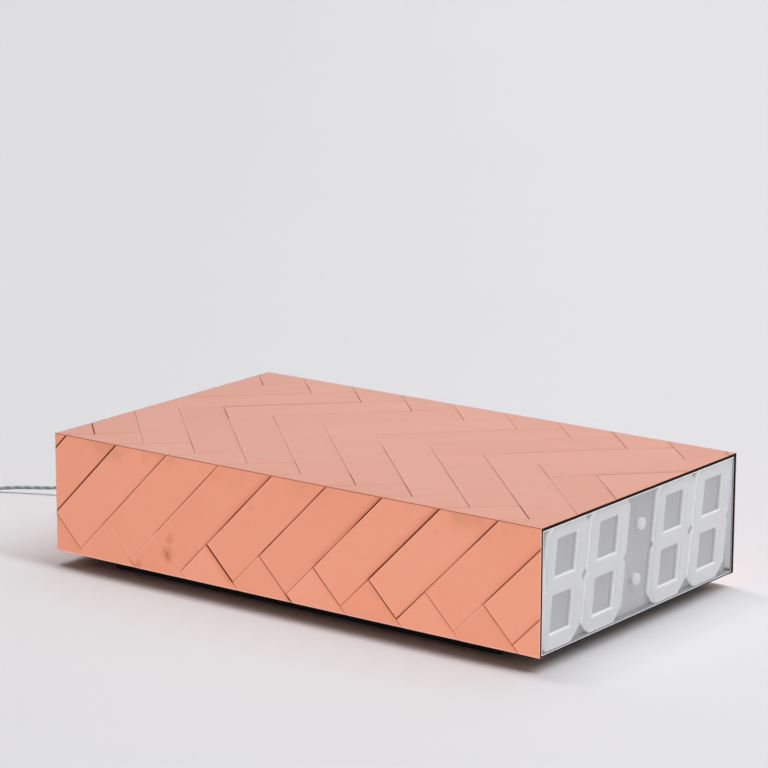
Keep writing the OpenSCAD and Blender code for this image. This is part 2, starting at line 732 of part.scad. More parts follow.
module plug_body() {
    plan = [[0, -neck_half], [plug_l - flank_l, -plug_w / 2], [plug_l, -plug_w / 2],
        [plug_l, plug_w / 2], [plug_l - flank_l, plug_w / 2], [0, neck_half]];
    profile = [[0, -neck_half], [plug_l - flank_l, -plug_t / 2], [plug_l, -plug_t / 2],
        [plug_l, plug_t / 2], [plug_l - flank_l, plug_t / 2], [0, neck_half]];
    color(black) at_plug() intersection() {
        translate([0, 0, -plug_t / 2]) linear_extrude(plug_t) polygon(plan);
        translate([0, plug_w / 2, 0]) rotate([90, 0, 0]) linear_extrude(plug_w) polygon(profile);
    }
}
module plug_pins() {
    color("silver") at_plug() for (s = [-1, 1]) translate([plug_l, s * prong_pitch / 2, 0])
        rotate([0, 90, 0]) union() {
            cylinder(d = prong_d, h = prong_l - prong_d / 2);
            translate([0, 0, prong_l - prong_d / 2]) sphere(d = prong_d);
        }
}

echo(least_coil_gap = coil_gap);

top_board();
side_board_left();
side_board_right();
rear_board();
base_board();
display_bulkhead();
centre_rib();
base_battens();
shingles_near_lower();
shingles_near_fold();
shingles_top_near();
shingles_top_far();
shingles_far_fold();
shingles_far_lower();
plinth_side_rails();
plinth_end_rails();
foot_pads();
display_panel();
display_rim();
pane_gasket();
front_pane();
digit_1();
digit_2();
digit_3();
digit_4();
digit_board_1();
digit_board_2();
digit_board_3();
digit_board_4();
colon_dots();
colon_boards();
power_supply();
control_board();
control_parts();
board_standoffs();
display_header();
display_loom();
supply_lead();
button_loom();
mains_lead();
button_guides();
set_button();
hour_button();
minute_button();
button_board();
button_switches();
button_standoffs();
cord_gland();
gland_nut();
cord();
cord_coil();
cord_tail();
coil_tie();
plug_body();
plug_pins();
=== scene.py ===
# %% [markdown]
# # A copper-clad floor clock
# The clock is a low plywood box covered in folded copper shingles, with four big segment digits behind a
# clear pane at one end. The packed model already holds every piece at its true size, in metres, with the
# display facing -Y and the floor at z = 0. This lesson keeps that frame fixed and gives each piece its
# finish, and it remodels the pieces whose real form is finer than a plain solid: the copper, the digits,
# the cord and its ends.

# %% Load the packed model
import math
import random

import bmesh
import bpy
from mathutils import Matrix, Quaternion, Vector, noise


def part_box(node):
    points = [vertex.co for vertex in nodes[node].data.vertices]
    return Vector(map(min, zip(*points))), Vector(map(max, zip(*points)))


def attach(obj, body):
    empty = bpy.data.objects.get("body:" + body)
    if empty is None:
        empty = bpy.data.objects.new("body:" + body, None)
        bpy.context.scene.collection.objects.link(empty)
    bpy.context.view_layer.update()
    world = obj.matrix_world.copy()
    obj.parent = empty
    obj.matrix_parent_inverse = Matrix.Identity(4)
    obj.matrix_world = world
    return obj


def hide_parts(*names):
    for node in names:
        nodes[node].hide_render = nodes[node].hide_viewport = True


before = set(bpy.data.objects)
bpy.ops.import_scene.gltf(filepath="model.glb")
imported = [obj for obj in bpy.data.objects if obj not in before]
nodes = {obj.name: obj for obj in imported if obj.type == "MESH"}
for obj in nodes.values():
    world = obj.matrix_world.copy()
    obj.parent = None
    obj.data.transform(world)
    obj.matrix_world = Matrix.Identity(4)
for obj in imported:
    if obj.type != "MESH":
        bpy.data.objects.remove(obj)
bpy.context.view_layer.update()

# %% [markdown]
# ## The camera
# The picture was taken from a few metres away with a long lens, a little above the top of the box and well
# to the left of the display. Six corners of the box fix the place, the angle and the lens, so no lens
# shift is needed. A camera looks along its own -Z axis, and `to_track_quat` turns that axis towards the
# aim point.

# %% Camera
camera_at = Vector((-4.1929, -3.0889, 1.5542))
camera_aim = Vector((0.0516, 0.0551, 0.3173))
camera_roll = math.radians(0.133)
camera = bpy.data.objects.new("camera", bpy.data.cameras.new("camera"))
camera.data.sensor_width = 36.0
camera.data.lens = 148.96
camera.location = camera_at
camera.rotation_mode = "QUATERNION"
facing = (camera_aim - camera_at).to_track_quat("-Z", "Y")
camera.rotation_quaternion = facing @ Quaternion((0, 0, 1), camera_roll)
bpy.context.scene.collection.objects.link(camera)
bpy.context.scene.camera = camera
print("camera distance", round((camera_aim - camera_at).length, 3))

# %% [markdown]
# ## Writing shaders as sums
# A finish is a small graph of nodes. Building it link by link hides the idea, so one class wraps an output
# socket and lets plain Python sums add the Math nodes. Every other kind of node comes from its `node`
# method: the settings are set first, and then each input gets a number, a colour or a link.


# %% Sockets that can be added and multiplied
class Socket:
    """An output socket of a node tree that works in Python sums."""

    def __init__(self, output):
        self.output = output

    @staticmethod
    def node(tree, kind, settings=None, inputs=None, out=0):
        made = tree.nodes.new(kind)
        for name, value in (settings or {}).items():
            setattr(made, name, value)
        for name, value in (inputs or {}).items():
            if isinstance(value, Socket):
                tree.links.new(value.output, made.inputs[name])
            else:
                made.inputs[name].default_value = value
        return Socket(made.outputs[out]) if made.outputs else None

    def sum(self, operation, first, second):
        inputs = {0: first, 1: second}
        return Socket.node(self.output.id_data, "ShaderNodeMath", {"operation": operation}, inputs)

    def apply(self, operation, other=0.0):
        return self.sum(operation, self, other)

    def __add__(self, other):
        return self.sum("ADD", self, other)

    def __radd__(self, other):
        return self.sum("ADD", other, self)

    def __sub__(self, other):
        return self.sum("SUBTRACT", self, other)

    def __rsub__(self, other):
        return self.sum("SUBTRACT", other, self)

    def __mul__(self, other):
        return self.sum("MULTIPLY", self, other)

    def __rmul__(self, other):
        return self.sum("MULTIPLY", other, self)


print("operators", [name for name in vars(Socket) if name.startswith("__r")])

# %% [markdown]
# A material starts with one Principled shader. What is the same all over is set on the shader's own
# sockets, and only what changes over the surface is linked. Patterns read Object coordinates, which are
# the metres of the shared frame, so a grain of 2 mm is written as 2 mm on every piece.


# %% Start a finish
def new_finish(name, **constants):
    """A material with a Principled shader; returns the material, its tree and the shader."""
    material = bpy.data.materials.new(name)
    material.use_nodes = True
    tree = material.node_tree
    shader = next(n for n in tree.nodes if n.type == "BSDF_PRINCIPLED")
    for socket, value in constants.items():
        shader.inputs[socket.replace("_", " ").title().replace("Ior", "IOR")].default_value = value
    return material, tree, shader


def link(tree, value, shader, socket):
    tree.links.new(value.output, shader.inputs[socket])


def rgb(red, green, blue):
    return (red, green, blue, 1.0)


def grey(level):
    return rgb(level, level, level)


def finish_nodes(material, *names):
    """Puts a finish on CAD nodes that keep their own shape."""
    for name in names:
        for part in nodes[name].material_slots:
            part.material = material
    print(material.name, "on", len(names), "nodes")


print("white is", grey(1.0))


# %% Patterns for finishes
def object_place(tree, scale=(1, 1, 1)):
    """Object coordinates in metres, stretched by a Mapping node."""
    place = Socket.node(tree, "ShaderNodeTexCoord", out="Object")
    return Socket.node(tree, "ShaderNodeMapping", None, {"Vector": place, "Scale": scale})


def clouds(tree, place, scale, detail=3.0, roughness=0.5):
    """Soft noise between 0 and 1; scale is in cycles for each metre."""
    inputs = {"Vector": place, "Scale": scale, "Detail": detail, "Roughness": roughness}
    return Socket.node(tree, "ShaderNodeTexNoise", None, inputs, "Fac")


def rise(tree, value, low, high, to_low=0.0, to_high=1.0):
    """A smooth step of a value from one level to another."""
    inputs = {"Value": value, "From Min": low, "From Max": high, "To Min": to_low, "To Max": to_high}
    return Socket.node(tree, "ShaderNodeMapRange", {"interpolation_type": "SMOOTHSTEP"}, inputs)


def blend_colours(tree, share, first, second):
    """Mixes two colours, each a tuple or a socket."""
    inputs = {0: share, 6: first, 7: second}
    return Socket.node(tree, "ShaderNodeMix", {"data_type": "RGBA"}, inputs, 2)


def bump(tree, height, distance, strength=1.0):
    inputs = {"Height": height, "Distance": distance, "Strength": strength}
    return Socket.node(tree, "ShaderNodeBump", None, inputs, "Normal")


def one_axis(tree, place, axis):
    """One coordinate of a place, a direction or a UV point: X, Y or Z."""
    return Socket.node(tree, "ShaderNodeSeparateXYZ", None, {0: place}, axis)


def along_way(tree, place, way):
    """How far a place, or how much of a direction, lies along a given way."""
    inputs = {0: place, 1: way}
    return Socket.node(tree, "ShaderNodeVectorMath", {"operation": "DOT_PRODUCT"}, inputs, "Value")


print("patterns ready")

# %% [markdown]
# A remodelled piece starts as a bmesh, which Blender's modelling operators work on, and ends as an object
# at the origin with its place in its mesh. It rides on one body of the packed model, so that it moves with
# it, and it hides the packed nodes that it stands for.


# %% From a form to a piece
def to_mesh(name, form):
    """Turns a bmesh into mesh data and frees it."""
    mesh = bpy.data.meshes.new(name)
    form.to_mesh(mesh)
    form.free()
    return mesh


def add_form(whole, form):
    """Adds one bmesh to another and frees it."""
    carrier = to_mesh("carrier", form)
    whole.from_mesh(carrier)
    bpy.data.meshes.remove(carrier)


def shade_smooth(form):
    for face in form.faces:
        face.smooth = True


def new_piece(name, form, body, slot, *stands_for):
    """Turns a bmesh into a named piece that rides on a body and stands for CAD nodes."""
    piece = bpy.data.objects.new(name, to_mesh(name, form))
    bpy.context.scene.collection.objects.link(piece)
    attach(piece, body)
    if stands_for:
        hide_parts(*stands_for)
    return piece


print("pieces replace some of", len(nodes), "nodes")

# %% [markdown]
# ## The cord
# A mains cord in a textile sleeve leaves the rear through a tapered boot, sinks to the floor and runs out
# of the picture. The rest is wound into a flat coil behind the picture's edge. A curve with a round bevel
# would do, but the sleeve's colours have to follow the cord, so the tube is swept ring by ring from a
# circle and carries a UV map: across the first axis it goes once round, and along the second it counts
# metres.

# %% The route of the cord
cord_d = 0.0065
cord_exit = Vector((0.090, 0.539, 0.0628))
route_mm = [(90, 560, 62), (90, 580, 61), (89, 600, 59), (87, 620, 56), (85, 640, 52), (83, 660, 47),
            (79, 680, 42), (75, 700, 37), (70, 720, 32), (65, 740, 27), (59, 760, 22), (52, 780, 18),
            (45, 800, 15), (37, 820, 13), (28, 840, 12), (19, 860, 11), (9, 880, 10), (-2, 900, 8),
            (-13, 920, 6), (-25, 940, 4.6), (-37, 960, 4.6)]
route = [Vector(point) / 1000 for point in route_mm]
run_out = (route[-1] - route[-2]).normalized()
coil_r = 0.046
turn_pitch = 0.0071
turns_in = 2.25
turns_back = 0.5
turns_all = 2 * turns_in + turns_back
coil_centre = route[-1] + coil_r * Vector((run_out.y, -run_out.x, 0))
coil_phase = math.atan2(-run_out.x, run_out.y) + math.pi


def coil_point(turns):
    """Place on the coil: it winds in on the floor, climbs, and winds out on top."""
    radius = coil_r - turn_pitch * min(turns, turns_all - turns)
    climb = turn_pitch * min(1, max(0, (turns - turns_in) / turns_back))
    angle = coil_phase - 2 * math.pi * turns
    return coil_centre + Vector((radius * math.cos(angle), radius * math.sin(angle), climb))


points_a_turn = 24
lead = cord_d * run_out
coil = [coil_point(k / points_a_turn) + lead for k in range(int(turns_all * points_a_turn) + 1)]
tail_start = coil[-1] + lead
plug_z = 0.0069
drop = Vector((0, 0, plug_z - tail_start.z))
tail_drop = [(0, 0), (0.014, 0), (0.028, 0.3), (0.042, 0.75), (0.054, 1), (0.064, 1)]
tail = [tail_start + far * run_out + share * drop for far, share in tail_drop]
plug_start = tail[-1]
bare_route = [cord_exit, cord_exit + Vector((0, cord_d, 0))] + route + coil + tail
print("route points", len(bare_route), "coil centre", coil_centre[:])


# %% A smooth line through the route
def smooth_line(points, parts):
    """A Catmull-Rom line through the points, each gap cut into a number of parts."""
    line = []
    for k in range(len(points) - 1):
        before = points[max(k - 1, 0)]
        start = points[k]
        end = points[k + 1]
        after = points[min(k + 2, len(points) - 1)]
        for part in range(parts):
            t = part / parts
            square = 2 * before - 5 * start + 4 * end - after
            cube = 3 * start - before - 3 * end + after
            line.append(0.5 * (2 * start + (end - before) * t + square * t * t + cube * t ** 3))
    return line + [points[-1]]


cord_line = smooth_line(bare_route, 3)
cord_length = sum((b - a).length for a, b in zip(cord_line, cord_line[1:]))
print("cord length", round(cord_length, 4))


# %% Sweep the sleeve along the line
def sweep(line, diameter, sides):
    """A round tube along a line, with a UV map of turns and metres."""
    tube = bmesh.new()
    turn_of = tube.verts.layers.float.new("turn")
    far_of = tube.verts.layers.float.new("far")
    ring = bmesh.ops.create_circle(tube, cap_ends=True, segments=sides, radius=diameter / 2)["verts"]
    edges = tube.edges[:]
    start_face = tube.faces[:]
    flat = [vertex.co.copy() for vertex in ring]
    far = 0.0
    for k, point in enumerate(line):
        ahead = line[min(k + 1, len(line) - 1)] - line[max(k - 1, 0)]
        side = ahead.cross(Vector((0, 0, 1))).normalized()
        upward = side.cross(ahead).normalized()
        if k > 0:
            far += (point - line[k - 1]).length
            grown = bmesh.ops.extrude_edge_only(tube, edges=edges)["geom"]
            new_ring = {vertex for vertex in grown if isinstance(vertex, bmesh.types.BMVert)}
            new_edges = [edge for edge in grown if isinstance(edge, bmesh.types.BMEdge)]
            edges = [edge for edge in new_edges if new_ring.issuperset(edge.verts)]
            ring = sorted(new_ring, key=lambda vertex: vertex[turn_of])
        for number, (vertex, at) in enumerate(zip(ring, flat)):
            vertex.co = point + at.x * side + at.y * upward
            vertex[turn_of] = number / sides
            vertex[far_of] = far
    tube.faces.new(ring)
    bmesh.ops.recalc_face_normals(tube, faces=tube.faces[:])
    uv = tube.loops.layers.uv.new("sleeve")
    for face in tube.faces:
        face.smooth = face not in start_face
        turns = [loop.vert[turn_of] for loop in face.loops]
        wraps = max(turns) - min(turns) > 0.5
        for loop in face.loops:
            turn = loop.vert[turn_of]
            loop[uv].uv = (1.0 if wraps and turn == 0 else turn, loop.vert[far_of])
    return tube


cord = new_piece("textile_cord", sweep(cord_line, cord_d, 16), "case", "cord_textile",
                 "cord", "cord_coil", "cord_tail")
print("cord faces", len(cord.data.polygons))

# %% [markdown]
# The sleeve is braided from pale, pink and teal yarn. Seen close, the yarns run round the cord in two
# slants, so the colour bands come from the UV map: the turn plus the metres makes a helix. Fine ribs
# across the helix stand for the single yarns, and they also raise the surface a little.

# %% Braided sleeve
bands_a_metre = 52.0
yarns_a_metre = 900.0
yarns_round = 8.0
textile, tree, shader = new_finish("braided_textile", Sheen_Weight=0.3, Specular_IOR_Level=0.25)
sleeve_uv = Socket.node(tree, "ShaderNodeUVMap", {"uv_map": "sleeve"})
turn = one_axis(tree, sleeve_uv, "X")
metres = one_axis(tree, sleeve_uv, "Y")
helix = (metres * bands_a_metre + turn).apply("FRACT")
other_helix = (metres * bands_a_metre - turn).apply("FRACT")
teal_band = rise(tree, helix, 0.28, 0.42) * (1 - rise(tree, helix, 0.84, 0.98))
pink_band = rise(tree, other_helix, 0.06, 0.16) * (1 - rise(tree, other_helix, 0.34, 0.44))
yarn_wave = ((metres * yarns_a_metre + turn * yarns_round) * math.tau).apply("SINE")
yarn_cross = ((metres * yarns_a_metre - turn * yarns_round) * math.tau).apply("SINE")
yarns = yarn_wave * yarn_cross * 0.5 + 0.5
pale = blend_colours(tree, yarns, rgb(0.50, 0.47, 0.41), rgb(0.68, 0.65, 0.58))
rosy = blend_colours(tree, pink_band * 0.75, pale, rgb(0.66, 0.43, 0.37))
sleeve_colour = blend_colours(tree, teal_band * 0.9, rosy, rgb(0.19, 0.39, 0.43))
link(tree, sleeve_colour, shader, "Base Color")
link(tree, yarns * 0.1 + 0.8, shader, "Roughness")
link(tree, bump(tree, yarns, 0.0003, 0.6), shader, "Normal")
cord.data.materials.append(textile)
print("textile nodes", len(tree.nodes))

# %% [markdown]
# ## Turned parts at the rear
# The cord's boot, the three setting buttons and their guides are round, so each is half of a profile spun
# about its axis, as on a lathe. The boot gets flexing grooves and a rounded flange, and a button gets a
# dished face. Spinning can leave the shape inside out, so doubles are merged and the normals are turned
# outwards.

# %% A lathe along Y
gland_x = 0.090
button_xs = (-0.090, -0.060, -0.030)
rear_z = 0.0628
rear_y = 0.500


def turned(profile, x, z):
    """Spins a profile of (radius, y) pairs in millimetres about a line along Y."""
    form = bmesh.new()
    corners = [form.verts.new((x + radius / 1000, y / 1000, z)) for radius, y in profile]
    sides = [form.edges.new(pair) for pair in zip(corners, corners[1:])]
    bmesh.ops.spin(form, geom=corners + sides, cent=(x, 0, z), axis=(0, 1, 0), angle=2 * math.pi, steps=40,
                   use_merge=True)
    bmesh.ops.remove_doubles(form, verts=form.verts[:], dist=1e-6)
    bmesh.ops.recalc_face_normals(form, faces=form.faces[:])
    shade_smooth(form)
    return form


def crisp(piece, degrees=32):
    """Keeps edges sharp where two faces meet at more than an angle."""
    piece.data.set_sharp_from_angle(angle=math.radians(degrees))
    return piece


print("lathe ready, rear wall at", rear_y)

# %% Boot
boot_r = 7.0
tip_r = 4.5
boot_from = 503.0
boot_to = 539.0
groove_pitch = 4.6
grooves = []
for k in range(6):
    y = boot_from + 5.0 + groove_pitch * k
    full = boot_r - (boot_r - tip_r) * (y - boot_from) / (boot_to - boot_from)
    grooves += [(full, y), (full - 0.9, y + 0.4), (full - 1.0, y + 1.9), (full - 0.3, y + 2.3)]
flange = [(0, 487.2), (7, 487.2), (7, 500), (10.4, 500), (11, 500.6), (11, 502), (10.7, 502.7), (10, 503)]
tip = [(4.7, 537.6), (4.5, 538.4), (4.1, 538.9), (3.4, 539), (3.4, 533), (0, 533)]
boot_profile = flange + [(7.4, 503), (7, 503.5)] + grooves + tip
boot_form = turned(boot_profile, gland_x, rear_z)
gland = crisp(new_piece("cord_boot", boot_form, "case", "black_plastic", "cord_gland"))
print("boot points", len(boot_profile))

# %% Guides and buttons
guide_profile = [(6.2, 484.2), (11.2, 484.2), (11.2, 487.2), (8.2, 487.2), (8.2, 499.7), (7.9, 500),
                 (6.6, 500), (6.2, 499.6), (6.2, 484.2)]
guide_form = bmesh.new()
for x in button_xs:
    add_form(guide_form, turned(guide_profile, x, rear_z))
guides = crisp(new_piece("button_bushes", guide_form, "case", "black_plastic", "button_guides"))
dished_face = [(0, 499.2), (2.4, 499.25), (4.2, 499.5), (5.1, 499.9), (5.5, 500), (5.85, 499.8), (6, 499.4)]
stem = [(6, 484.05), (8.2, 484.05), (8.2, 482.55), (2.5, 482.55), (2.5, 476.55), (1.7, 476.55),
        (1.7, 472.95), (1.4, 472.65), (0, 472.65)]
buttons = []
for name, x in zip(("set_button", "hour_button", "minute_button"), button_xs):
    cap = turned(dished_face + stem, x, rear_z)
    buttons.append(crisp(new_piece(name + "_cap", cap, name, "black_plastic", name)))
print("turned pieces", [piece.name for piece in [gland, guides] + buttons])

# %% [markdown]
# ## The plug and the tie
# The flat plug lies beside the coil. It is a block whose flanks taper to the cord: four cutting planes
# shave a box down, and a bevel rounds all its edges as a mould would. The tie is a strap round the bundle:
# a rectangle with rounded corners, drawn out to the strap's width and given thickness by a Solidify
# modifier.

# %% Plug body
plug_l = 0.037
plug_w = 0.0353
plug_t = 0.0138
flank_l = 0.015
neck_half = 0.0055
plug_edge = 0.0014
plug_turn = Matrix.Translation(plug_start) @ Matrix.Rotation(math.atan2(run_out.y, run_out.x), 4, "Z")
plug_mesh = bmesh.new()
bmesh.ops.create_cube(plug_mesh, size=1.0)
bmesh.ops.scale(plug_mesh, vec=(plug_l, plug_w, plug_t), verts=plug_mesh.verts[:])
bmesh.ops.translate(plug_mesh, vec=(plug_l / 2, 0, 0), verts=plug_mesh.verts[:])
for half, axis in ((plug_w / 2, Vector((0, 1, 0))), (plug_t / 2, Vector((0, 0, 1)))):
    for sign in (-1, 1):
        slope = Vector((plug_l - flank_l, 0, 0)) + axis * sign * (half - neck_half)
        outward = Vector((-slope.dot(axis * sign), 0, 0)) + axis * sign * slope.x
        geometry = plug_mesh.verts[:] + plug_mesh.edges[:] + plug_mesh.faces[:]
        cut = bmesh.ops.bisect_plane(plug_mesh, geom=geometry, plane_co=axis * sign * neck_half,
                                     plane_no=outward, clear_outer=True)
        rim = [edge for edge in cut["geom_cut"] if isinstance(edge, bmesh.types.BMEdge)]
        bmesh.ops.contextual_create(plug_mesh, geom=rim)
bmesh.ops.recalc_face_normals(plug_mesh, faces=plug_mesh.faces[:])
bmesh.ops.bevel(plug_mesh, geom=plug_mesh.edges[:], offset=plug_edge, segments=3, profile=0.5,
                affect="EDGES", material=-1, clamp_overlap=True)
bmesh.ops.transform(plug_mesh, matrix=plug_turn, verts=plug_mesh.verts[:])
shade_smooth(plug_mesh)
plug = crisp(new_piece("flat_plug", plug_mesh, "case", "black_plastic", "plug_body"), 40)
print("plug faces", len(plug.data.polygons))

# %% Strap round the coil
strap_ease = 0.00045
tie_low = (0.0242 - strap_ease, 0.00095 - strap_ease)
tie_high = (0.04965 + strap_ease, 0.01535 + strap_ease)
tie_w = 0.010
tie_corner = 0.0022
tie_angle = coil_phase - math.radians(60)
tie_middle = Matrix.Translation((coil_centre.x + lead.x, coil_centre.y + lead.y, 0))
tie_turn = tie_middle @ Matrix.Rotation(tie_angle, 4, "Z")
tie_mesh = bmesh.new()
tie_corners = [tie_mesh.verts.new((x, -tie_w / 2, z)) for x, z in (
    tie_low, (tie_high[0], tie_low[1]), tie_high, (tie_low[0], tie_high[1]))]
for k in range(4):
    tie_mesh.edges.new((tie_corners[k], tie_corners[(k + 1) % 4]))
bmesh.ops.bevel(tie_mesh, geom=tie_corners, offset=tie_corner, segments=5, profile=0.5,
                affect="VERTICES", material=-1)
drawn = bmesh.ops.extrude_edge_only(tie_mesh, edges=tie_mesh.edges[:])["geom"]
far_line = [vertex for vertex in drawn if isinstance(vertex, bmesh.types.BMVert)]
bmesh.ops.translate(tie_mesh, vec=(0, tie_w, 0), verts=far_line)
bmesh.ops.recalc_face_normals(tie_mesh, faces=tie_mesh.faces[:])
bmesh.ops.transform(tie_mesh, matrix=tie_turn, verts=tie_mesh.verts[:])
shade_smooth(tie_mesh)
tie = new_piece("coil_strap", tie_mesh, "case", "black_plastic", "coil_tie")
strap_wall = tie.modifiers.new("strap_wall", "SOLIDIFY")
strap_wall.thickness = 0.0008
strap_wall.offset = 0.0
print("strap faces", len(tie.data.polygons))

print("cord declared at", round(cord_length, 3), "m")

# %% [markdown]
# ## The copper cladding
# The skin is a herringbone of copper shingles that run over the edges of the box: each plank is cut flat,
# bent over the carcass like paper, and lapped under its neighbour. So the model is made the same way.
# Every plank is a grid in the unfolded pattern, where u runs from the rear edge towards the display and v
# runs down the near side. The grid is trimmed and creased with cutting planes, and one function then folds
# it round the box. Along its two low edges a plank lies on top; along its two high edges it sinks and
# slips under the next one.

# %% The herringbone lattice
body_l = 1.000
body_w = 0.585
body_h = 0.209
top_z = 0.233
board_gap = 0.0008
shingle_w = 0.079
shingle_l = 0.325
hem = 0.012
corner_seam = 0.0012
half_w = body_w / 2
lay_half = half_w - board_gap
lay_l = body_l - board_gap
root_2 = math.sqrt(2)
step = shingle_w * root_2
reach = shingle_l * root_2
lattice_u = -0.113
lattice_v = 0.140
alpha_0 = lattice_u + lattice_v
beta_0 = lattice_u - lattice_v


def low_corner(course, index):
    """Low corner of a plank in the slanted directions alpha = u + v and beta = u - v."""
    pair = course // 2
    if course % 2 == 0:
        return alpha_0 - pair * reach + step * index, beta_0 + pair * reach + step * index
    return alpha_0 - (pair + 1) * reach + step * (index + 1), beta_0 + (pair + 1) * reach + step * index


def unfolded(course, index, along, across):
    """A plank's own place, along and across it, as u and v."""
    alpha, beta = low_corner(course, index)
    if course % 2 == 0:
        alpha += across * root_2
        beta += along * root_2
    else:
        alpha += along * root_2
        beta += across * root_2
    return (alpha + beta) / 2, (alpha - beta) / 2


print("step", round(step, 4), "reach", round(reach, 4))

# %% [markdown]
# No two seams are alike on the real skin: some are hairlines and some stand open, with a painted shadow
# in the gap. The seams that the picture shows are judged one by one, from 0 for a hairline to 1 or a little
# more for an open one. The rest draw a value from a generator that is seeded by the plank's own number, so
# that every run gives the same clock. Beside some seams on the near side the sheet dips, and a painted shade
# darkens it there; `near_shades` says how much. On the top, the seams that run across the view get only a
# faint painted shadow, and only those in `open_on_top` show.

# %% How far each seam stands open
near_long_seams = {0: 1.1, 1: 1.1, 2: 0.5, 3: 0.45, 4: 0.7, 5: 0.8, 6: 0.7, 7: 1.0, 8: 0.6, 9: 0.7}
near_shades = {0: 0.2, 1: 0.3, 3: 0.2, 4: 0.85, 5: 0.2, 6: 1.0}
open_on_top = {(2, 1): 0.4, (2, 2): 0.75, (2, 3): 0.4, (2, 5): 0.35, (2, 7): 0.5, (2, 9): 0.8, (1, 1): 0.3,
               (1, 8): 0.4, (0, 2): 0.35, (0, 3): 0.45, (0, 5): 0.4, (0, 7): 0.35}
steep_seams = {(-1, 5): 1.3, (1, -1): 0.55, (1, 0): 0.25, (1, 1): 0.32, (1, 2): 0.3, (1, 3): 0.2,
               (1, 4): 0.25, (1, 5): 0.35, (1, 6): 0.3, (1, 7): 0.35, (1, 8): 0.25, (3, 0): 0.2,
               (3, 1): 0.35, (3, 2): 0.3, (3, 3): 0.2, (3, 4): 0.2, (3, 5): 0.15, (3, 6): 0.4, (3, 7): 0.35}
near_end_seams = {1: 0.6, 2: 0.25, 3: 0.15, 4: 1.5, 5: 0.5, 6: 0.65, 7: 0.85, 8: 0.5, 9: 0.6}
lower_end_seams = {1: 0.4, 2: 0.1, 3: 0.5, 4: 0.3, 5: 0.35, 6: 0.5, 7: 0.8, 8: 0.25, 9: 0.7}


def drawn_value(course, index, what):
    return random.Random(f"{course} {index} {what}").random()


def long_seam(course, index):
    """Opening of the seam along a plank's low long edge."""
    if course == 0 and index in near_long_seams:
        return near_long_seams[index]
    return steep_seams.get((course, index), 0.15 + 0.45 * drawn_value(course, index, "long"))


def end_seam(course, index):
    """Opening of the seam along a plank's low end."""
    if course == 0 and index in near_end_seams:
        return near_end_seams[index]
    if course == -1 and index in lower_end_seams:
        return lower_end_seams[index]
    return 0.1 + 0.5 * drawn_value(course, index, "end")


def seam_across(course, index, along):
    """Opening of the seam along the high long edge, where the next plank laps over."""
    if along > shingle_w:
        return long_seam(course, index + 1)
    return end_seam(course - 1, index) if course % 2 == 0 else end_seam(course + 1, index + 1)


def seam_ahead(course, index):
    """Opening of the seam along the high end."""
    if course % 2 == 0:
        return long_seam(course + 1, index) + 0.3 * drawn_value(course, index, "ahead")
    return long_seam(course - 1, index + 1)


def seam_on_top(course, index, opening, along=0.0):
    """Opening on the top of a seam that runs across the view, from the plank that laps over it."""
    if course % 2 == 0:
        over = (course, index + 1) if along > shingle_w else (course - 1, index)
    else:
        over = (course - 1, index + 1)
    return open_on_top.get(over, 0.25 * opening)


print("sample seams", [round(long_seam(1, k), 2) for k in range(4)])

# %% [markdown]
# The sheet is bent round the box by one rule that holds for the long edges and for the rear edge: flat on
# top, a small arc over the edge, straight down the side, another arc, and a hem under the carcass. A
# distance past the top edge goes in, and the place and the outward normal of the outer face come out.

# %% Folding a flat sheet round the box
fold_r = 0.0016


def bend(past):
    """Outward place, drop and normal of the outer face at a distance past the top edge."""
    if past < -fold_r:
        return past, 0.0, 0.0, 1.0
    if past <= fold_r:
        turn = (past + fold_r) / fold_r * math.pi / 4
        return fold_r * (math.sin(turn) - 1), fold_r * (1 - math.cos(turn)), math.sin(turn), math.cos(turn)
    if past < body_h - fold_r:
        return 0.0, past, 1.0, 0.0
    if past <= body_h + fold_r:
        turn = (past - body_h + fold_r) / fold_r * math.pi / 4
        return (fold_r * (math.cos(turn) - 1), body_h + fold_r * (math.sin(turn) - 1), math.cos(turn),
                -math.sin(turn))
    return body_h - past, body_h, 0.0, -1.0


def fold(flat):
    """Takes a point (u, v, height above the outer face) to its place on the box."""
    u, v, height = flat
    near = (v + lay_half) * half_w / lay_half
    past_side = abs(near) - half_w
    flap_ends = fold_r if past_side < -fold_r else -1e-6
    if u < flap_ends and past_side < -corner_seam / 2:
        out, drop, n_out, n_up = bend(-u)
        return Vector((-near, rear_y + out + height * n_out, top_z - drop + height * n_up))
    out, drop, n_out, n_up = bend(past_side)
    x = half_w + out + height * n_out
    return Vector((-x if near > 0 else x, rear_y - u * body_l / lay_l, top_z - drop + height * n_up))


crease_steps = [share * fold_r for share in (-1, -0.5, 0, 0.5, 1)]
side_creases = crease_steps + [body_h + e for e in crease_steps]
print("creases", len(side_creases))

# %% [markdown]
# A plank's grid has close columns by its edges, where the sheet turns down into the seam, and wide ones
# between. Two vertex layers go with it. The first holds painted light: it grows towards a seam, for a
# painted shade beside it and a dark painted shadow in its gap, and dips below zero for a painted highlight
# along a plank's low edges. The fold along the top gets a painted brown shade and the one below a painted
# highlight.
# `tone` is one value for each plank, as sheets differ. A UV map keeps the plank's own directions for the
# rolling marks.

# %% Shape of one plank
tuck = 0.003
sink = 0.00045
slack = 0.00006
dip_w = 0.024
dip_end = 0.020
shade_w = 0.022
seam_w = 0.0023
highlight_w = 0.003
strain_depth = 0.12
across_step = 0.011
along_step = 0.0165


def columns(length, opening, spacing):
    """Places across a plank, from its open low edge to the tongue that slips under the next one."""
    start = 0.0001 + 0.0008 * opening
    fine = [start, start + 0.0005, start + 0.002, start + 0.007]
    inner = [0.022 + k * spacing for k in range(int((length - 0.046) / spacing) + 1)]
    close = [length - d for d in (0.018, 0.011, 0.006, 0.003, 0.0014, 0.0006, 0.0)]
    return fine + inner + close + [length + tuck]


